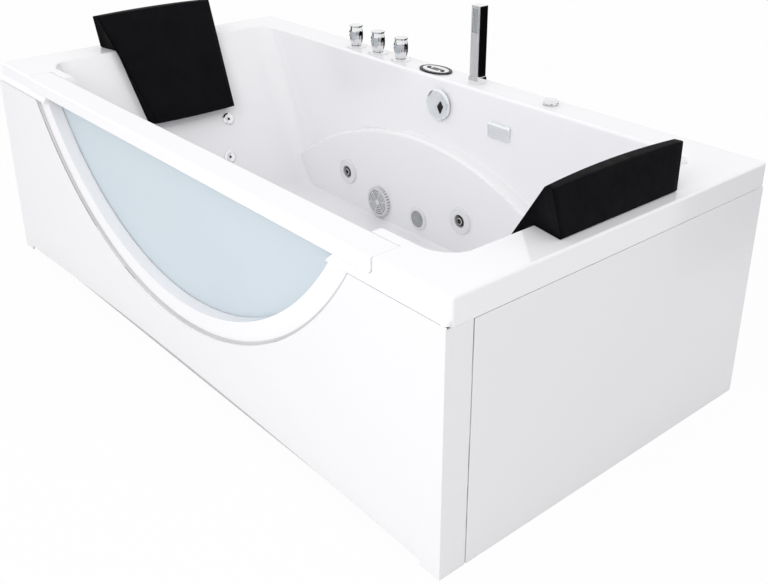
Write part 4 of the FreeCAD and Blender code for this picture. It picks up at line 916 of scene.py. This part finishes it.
@dataclass
class Knob(Assembly):
    """The rotary overflow knob: a domed disc with a black inlay on its face, a painted dark
    reflection.
    """

    radius: float = 0.0415
    reach: float = 0.012
    dome: float = 0.26
    at: Point = (0.019, 0.3577, 0.489)
    painted_reflection_at: tuple[float, float] = (0.034, 0.486)
    painted_reflection: tuple[tuple[float, float], ...] = (
        (0.002, 0.018), (0.0115, 0.003), (0.001, -0.020), (-0.010, 0.0))
    painted_reflection_roll: float = 0.002
    painted_reflection_depths: tuple[float, float] = (0.001, -0.0011)
    sectors: int = 96

    def build(self) -> None:
        """Turns the disc, whose face falls off with the square of the radius."""
        r, reach = self.radius, self.reach
        share = np.linspace(0.88, 0.0, 14)
        profile = [(0.0, 0.0004), (r * 0.97, 0.0004), (r, 0.0014), (r, reach * 0.55),
                   (r * 0.985, reach * 0.66), (r * 0.94, reach * 0.74)]
        profile += [(r * s, reach * (1 - self.dome * s * s)) for s in share]
        at, node = self.at, "overflow_knob"
        disc = lathe("overflow_disc", profile, at, (0.0, -1.0, 0.0), self.sectors)
        soften(disc, crease=TURNED_CREASE)
        self.dress(disc, CHROME_PAINTED_SHEEN, body_of(node), node)
        # A thin black sheet shaped like the dark patch on the chrome face, set into it and
        # slightly proud: painted reflection.
        outline = round_corners(np.array(self.painted_reflection), self.painted_reflection_roll, 6) \
            + np.array(self.painted_reflection_at)
        fall = ((outline - np.array([at[0], at[2]])) ** 2).sum(axis=1) / r ** 2
        face = at[1] - reach * (1 - self.dome * fall)
        rings = np.stack([np.column_stack([outline[:, 0], face + lift, outline[:, 1]])
                          for lift in self.painted_reflection_depths])
        self.dress(closed_sweep("overflow_painted_reflection", rings), BLACK, body_of(node))


@dataclass
class Grille(Assembly):
    """The suction cover: a ribbed cap with rings of slots, their floors and the gaps between
    its ribs darkened with painted shade.
    """

    at: Point = (-0.18, 0.320, 0.157)
    face: float = 0.040
    rim: float = 0.0448
    reach: float = 0.0118
    columns: int = 192
    rings: int = 73
    pitch: float = 0.0058
    first_slot: float = 0.0105
    slotted: tuple[float, float] = (0.0085, 0.0385)
    slot_depth: float = 0.0016
    spoke_half: float = 0.07
    spoke_turn: float = 0.3
    ribs: int = 32
    rib_share: float = 0.045
    crease: float = 50.0

    def build(self) -> None:
        """Shapes the cap as one grid of radius and angle.

        On the face the height dips by the slot depth where a cosine of the radius is
        negative, except at six spokes; round the side the radius dips at each of 32 ribs.
        """
        face, reach, columns = self.face, self.reach, self.columns
        radius = np.linspace(0.0, face, self.rings)
        angle = np.linspace(0.0, 2 * math.pi, columns, endpoint=False)
        phase = 2 * math.pi * (radius - self.first_slot) / self.pitch + math.pi
        wave = np.clip(-3.0 * np.cos(phase) + 0.3, 0.0, 1.0) \
            * (radius > self.slotted[0]) * (radius < self.slotted[1])
        off_spoke = np.abs((angle + self.spoke_turn) % (math.pi / 3) - math.pi / 6)
        spoke = np.clip((self.spoke_half - off_spoke) * 30, 0.0, 1.0)
        slot = wave[:, None] * (1 - spoke[None, :])
        rib = np.clip(2.5 * np.sin(self.ribs * angle), 0.0, 1.0)
        side_r = np.array([0.0415, 0.0445, 0.0448, 0.0448, 0.0])
        side_z = np.array([0.0116, 0.0098, 0.0088, 0.0004, 0.0004])
        ribbed = np.array([0.0, 0.6, 1.0, 1.0, 0.0])
        wide = np.concatenate([np.repeat(radius[:, None], columns, axis=1),
                               side_r[:, None]
                               * (1 - self.rib_share * ribbed[:, None] * rib)])
        high = np.concatenate([reach - self.slot_depth * slot,
                               np.repeat(side_z[:, None], columns, axis=1)])
        points = np.stack([self.at[0] + wide * np.cos(angle), self.at[1] - high,
                           self.at[2] + wide * np.sin(angle)], axis=-1)
        cap = mesh_object("suction_cap", points, grid_faces(len(wide), columns, True))
        soften(cap, crease=self.crease)
        # Painted shade: the slots' floors turn dark grey, and the gaps between the side ribs
        # partly so.
        spot = places(cap)
        depth = self.at[1] - spot[:, 1]
        away = np.hypot(spot[:, 0] - self.at[0], spot[:, 2] - self.at[2])
        on_face = (away < face) * (depth > 0.006) * (reach - depth) / 0.0013
        on_side = (away >= side_r[0]) * (depth > 0.0002) * (depth < 0.0105) \
            * (self.rim - away) / 0.0015
        paint_shade(cap, np.where(away < face, on_face, 0.6 * on_side))
        self.dress(cap, GRILLE, "tub", "suction_cover")


@dataclass
class Jets(Assembly):
    """The two swivelling jets: black ball, pale nozzle ring, and a bore darkened with
    painted shade.
    """

    edge: float = 0.4 * MM
    ring_depth: float = 0.0004
    ring_fade: float = 0.0006
    bore_back: float = 0.0012
    bore: tuple[tuple[float, float], ...] = (
        (0.0, -0.003), (0.0079, -0.003), (0.0079, 0.0), (0.006, -0.0012), (0.0, -0.0016))
    sectors: int = 40

    def build(self) -> None:
        """Dresses each nozzle, near-black with painted shade from just behind its front
        ring, and sets a black disc of painted shade in its bore.
        """
        for side in ("left", "right"):
            node = "jet_nozzle_" + side
            nozzle = self.reskin(node, NOZZLE, self.edge)
            # Painted shade: all but the nozzle's front ring turns near-black.
            depth = places(nozzle)[:, 1]
            paint_shade(nozzle, (depth - depth.min() - self.ring_depth) / self.ring_fade)
            low, high = (np.array(corner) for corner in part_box(node))
            middle = (low + high) / 2
            # A black disc in the bore, as painted shade for the hole.
            bore = lathe("jet_bore_painted_shade_" + side, list(self.bore),
                         (middle[0], low[1] + self.bore_back, middle[2]),
                         (0.0, -1.0, 0.0), self.sectors)
            soften(bore)
            self.dress(bore, BLACK, body_of(node))


@dataclass
class Spray(Assembly):
    """Rows of soft nozzles on the hand shower's plate."""

    across: int = 4
    rows: int = 15
    sectors: int = 10
    side_margin: float = 0.0035
    end_margin: float = 0.004
    ring_radii: tuple[float, ...] = (0.0, 0.00135, 0.0012, 0.0007, 0.0)
    ring_heights: tuple[float, ...] = (-0.0004, -0.0004, 0.0008, 0.0011, 0.0011)

    def build(self) -> None:
        """Sets columns of domes on the plate as one mesh.

        A dome's point at angle a of ring (r, h) is r cos a across, h outward, r sin a up.
        """
        low, high = (np.array(corner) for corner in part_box("shower_spray_face"))
        angle = np.linspace(0.0, 2 * math.pi, self.sectors, endpoint=False)
        ring_r = np.array(self.ring_radii)[:, None]
        ring_h = np.array(self.ring_heights)[:, None]
        dome = np.stack([ring_r * np.cos(angle), -np.repeat(ring_h, self.sectors, 1),
                         ring_r * np.sin(angle)], axis=-1)
        across = np.linspace(low[0] + self.side_margin, high[0] - self.side_margin,
                             self.across)
        up = np.linspace(low[2] + self.end_margin, high[2] - self.end_margin, self.rows)
        x, z = (grid.ravel() for grid in np.meshgrid(across, up))
        centre = np.column_stack([x, np.full(x.size, low[1]), z])
        points = centre[:, None, None, :] + dome[None]
        step = len(ring_r) * self.sectors * np.arange(len(centre))
        faces = (grid_faces(len(ring_r), self.sectors, True)[None]
                 + step[:, None, None]).reshape(-1, 4)
        domes = mesh_object("spray_nozzles", points, faces)
        domes.data.shade_smooth()
        self.dress(domes, RUBBER, body_of("shower_spray_face"))


PLAIN = {
    "tap_flanges": (CHROME, 0.0004), "mixer_body": (BRASS, 0.0004), "feed_pipe": (PIPE, 0.0),
    "control_bezel": (BLACK, 0.0012), "control_pad": (CHROME, 0.0006),
    "control_display": (DISPLAY, 0.0003), "button_pump": (BLACK, 0.0004),
    "button_light": (BLACK, 0.0004), "shower_handset": (CHROME, 0.0012),
    "shower_spray_face": (GREY_PLASTIC, 0.0006), "shower_holder": (CHROME, 0.0012),
    "air_knob": (CHROME, 0.0006), "air_valve": (CHROME, 0.0003), "air_pipes": (PIPE, 0.0),
    "overflow_body": (CHROME, 0.0004), "overflow_pipe": (PIPE, 0.0),
    "drain_flange": (CHROME, 0.0004), "drain_plug": (CHROME, 0.0005),
    "waste_trap": (PIPE, 0.0006),
    "waterfall_spout": (CHROME_PAINTED_SHEEN, 0.001), "jet_flanges": (BRIGHT_PLASTIC, 0.0004),
    "jet_bodies": (BLACK, 0.0004), "back_jets": (CHROME, 0.0003),
    "suction_body": (PIPE, 0.0004), "light_lens": (LENS, 0.0004),
    "light_body": (BRIGHT_PLASTIC, 0.0005),
    "pump_motor": (MOTOR, 0.0006), "pump_housing": (PUMP_SHELL, 0.0008),
    "pump_impeller": (GREY_PLASTIC, 0.0004), "pump_base": (PUMP_SHELL, 0.0008),
    "suction_pipe": (PIPE, 0.0), "pressure_pipes": (PIPE, 0.0),
    "control_box": (GREY_PLASTIC, 0.0008),
}


@dataclass
class ShowerHose(Assembly):
    """The braided hose under the deck, from the diverter to the hand shower."""

    radius: float = 0.007
    order: int = 3
    steps: int = 12
    facets: int = 4
    route: tuple[Point, ...] = (
        (0.103, 0.412, 0.545), (0.103, 0.412, 0.43), (0.097, 0.4031, 0.3446),
        (0.058, 0.3911, 0.2744), (-0.044, 0.388, 0.25), (-0.128, 0.3921, 0.2714),
        (-0.185, 0.4041, 0.3446), (-0.197, 0.412, 0.4147), (-0.197, 0.412, 0.46))

    def build(self) -> None:
        """Lays a smooth curve through the route's points, thick as the hose."""
        curve = bpy.data.curves.new("shower_hose_line", "CURVE")
        curve.dimensions = "3D"
        spline = curve.splines.new("NURBS")
        spline.points.add(len(self.route) - 1)
        for point, place in zip(spline.points, self.route):
            point.co = (*place, 1.0)
        spline.order_u = self.order
        spline.use_endpoint_u = True
        spline.resolution_u = self.steps
        curve.bevel_depth = self.radius
        curve.bevel_resolution = self.facets
        curve.use_fill_caps = True
        hose = add_object("shower_hose_line", curve)
        self.dress(hose, BRAID, "tub", "shower_hose")


# ------------------------------------------------------------------ studio

@dataclass(frozen=True)
class Viewpoint:
    """The photograph's camera, solved from the tub's straight edges."""

    place: Point = (1.8503, -1.3806, 1.2794)
    right: Point = (0.65256, 0.75774, 0.00087)
    down: Point = (0.31193, -0.26758, -0.91165)
    ahead: Point = (-0.69056, 0.59518, -0.41097)
    focal_px: float = 995.37
    centre_px: tuple[float, float] = (393.07, 223.78)
    frame_px: tuple[int, int] = (768, 584)
    sensor: float = 36.0

    def build(self) -> None:
        """Makes the scene's camera."""
        width, height = self.frame_px
        data = bpy.data.cameras.new("camera")
        data.sensor_width = self.sensor
        data.lens = self.focal_px / width * self.sensor
        data.shift_x = (width / 2 - self.centre_px[0]) / width
        data.shift_y = (self.centre_px[1] - height / 2) / width
        camera = add_object("camera", data)
        turn = np.eye(4)
        turn[:3, 0] = self.right
        turn[:3, 1] = -np.array(self.down)
        turn[:3, 2] = -np.array(self.ahead)
        turn[:3, 3] = self.place
        camera.matrix_world = Matrix(turn.tolist())
        bpy.context.scene.camera = camera


@dataclass(frozen=True)
class Studio:
    """Pale floor, white surroundings, a soft lamp and dark cards."""

    air: float = 0.92
    air_tint: tuple[float, float, float, float] = (0.99, 0.985, 1.0, 1.0)
    lean: Point = (-0.05, -0.18, 0.0)
    key: float = 31.0
    key_size: float = 2.0
    key_place: Point = (1.3, -3.1, 2.4)
    key_target: Point = (0.0, 0.0, 0.4)
    floor_white: float = 0.96
    floor_tone: float = 0.78
    floor_reach: float = 9.0
    card_side: float = 1.3
    card_foot: float = 0.003
    card_dark: float = 0.004

    def build(self) -> None:
        """Makes the world, the floor, the lamp and the cards."""
        self.world()
        self.floor()
        self.lamp()
        side, foot = self.card_side, self.card_foot
        self.dark_card("card_right", [(side, 0.8, foot), (side, 2.4, foot),
                                      (side, 0.8, 0.6), (side, 2.4, 0.6)])
        self.dark_card("card_back", [(-side, 1.5, foot), (side, 1.5, foot),
                                     (-side, 1.5, 0.45), (side, 1.5, 0.45)])

    def world(self) -> None:
        """Surroundings that light softly, and are white wherever they are seen.

        The light that comes from a direction is air plus the dot product of lean and that
        direction, so that the tub's right end lies in a soft shade.
        """
        world = bpy.data.worlds.new("studio")
        bpy.context.scene.world = world
        world.use_nodes = True
        tree = world.node_tree
        link = tree.links.new
        tree.nodes.clear()
        out = add_node(tree, "ShaderNodeOutputWorld")
        mix = add_node(tree, "ShaderNodeMixShader")
        soft = add_node(tree, "ShaderNodeBackground", {"Color": self.air_tint})
        way = add_node(tree, "ShaderNodeTexCoord")
        slant = add_node(tree, "ShaderNodeVectorMath", {1: self.lean},
                         operation="DOT_PRODUCT")
        level = add_node(tree, "ShaderNodeMath", {1: self.air}, operation="ADD")
        link(way.outputs["Generated"], slant.inputs[0])
        link(slant.outputs["Value"], level.inputs[0])
        link(level.outputs[0], soft.inputs["Strength"])
        white = add_node(tree, "ShaderNodeBackground", {"Color": WHITE, "Strength": 1.0})
        seen = ray_share(tree, "Is Camera Ray", "Is Glossy Ray", "Is Transmission Ray")
        link(seen, mix.inputs["Fac"])
        link(soft.outputs["Background"], mix.inputs[1])
        link(white.outputs["Background"], mix.inputs[2])
        link(mix.outputs["Shader"], out.inputs["Surface"])

    def floor(self) -> None:
        """A broad pale floor that takes the tub's soft shadow."""
        reach = self.floor_reach
        corner = np.array([(-reach, -reach, 0), (reach, -reach, 0), (-reach, reach, 0),
                           (reach, reach, 0)])
        floor = mesh_object("floor", corner.reshape(2, 2, 3), grid_faces(2, 2, False))
        if floor.data.polygons[0].normal.z < 0:
            floor.data.flip_normals()
        material = bpy.data.materials.new("pale_floor")
        material.use_nodes = True
        tree = material.node_tree
        link = tree.links.new
        tree.nodes.clear()
        out = add_node(tree, "ShaderNodeOutputMaterial")
        matte = add_node(tree, "ShaderNodeBsdfDiffuse",
                         {"Color": (*[self.floor_tone] * 3, 1.0)})
        white = add_node(tree, "ShaderNodeEmission", {"Color": WHITE, "Strength": 1.0})
        share = add_node(tree, "ShaderNodeMath", {1: self.floor_white},
                         operation="MULTIPLY")
        mix = add_node(tree, "ShaderNodeMixShader")
        link(ray_share(tree, "Is Camera Ray", "Is Transmission Ray"), share.inputs[0])
        link(share.outputs[0], mix.inputs["Fac"])
        link(matte.outputs["BSDF"], mix.inputs[1])
        link(white.outputs["Emission"], mix.inputs[2])
        link(mix.outputs["Shader"], out.inputs["Surface"])
        floor.data.materials.append(material)

    def lamp(self) -> None:
        """Hangs the key lamp, a soft square that faces the tub."""
        data = bpy.data.lights.new("key", "AREA")
        data.energy = self.key
        data.size = self.key_size
        lamp = add_object("key", data)
        lamp.location = self.key_place
        lamp.visible_glossy = False
        lamp.rotation_mode = "QUATERNION"
        way = Vector(self.key_target) - Vector(self.key_place)
        lamp.rotation_quaternion = way.to_track_quat("-Z", "Y")

    def dark_card(self, name: str, corners: list[Point]) -> None:
        """A dark card behind the tub, seen only in polished metal.

        Args:
            name: its name.
            corners: its four corners, row by row.
        """
        card = mesh_object(name, np.array(corners).reshape(2, 2, 3), grid_faces(2, 2, False))
        material = bpy.data.materials.new(name)
        material.use_nodes = True
        shader = material.node_tree.nodes["Principled BSDF"]
        fill(shader, {"Base Color": (*[self.card_dark] * 3, 1.0), "Roughness": 1.0,
                      "Specular IOR Level": 0.0})
        card.data.materials.append(material)
        card.visible_camera = False
        card.visible_diffuse = False
        card.visible_transmission = False
        card.visible_shadow = False


def main() -> None:
    """Builds the camera, the pieces and the studio, and reports each piece."""
    logging.basicConfig(level=logging.INFO, format="%(name)s %(message)s")
    bpy.context.scene.view_settings.view_transform = "Standard"
    Viewpoint().build()
    parts: list[Assembly] = [
        ShowerHose(), Casing(), Window(), Underframe(),
        Headrest(-1, "headrest_left", "headrest_suckers_left", "left_rest"),
        Headrest(1, "headrest_right", "headrest_suckers_right", "right_rest"),
        Tap("cold", -0.395), Tap("hot", -0.296), Tap("diverter", -0.197),
        Knob(), Grille(), Jets(), Spray(), Plain(PLAIN),
    ]
    for part in parts:
        LOG.info("building %s", type(part).__name__)
        part.build()
    Studio().build()


if __name__ == "__main__":
    main()
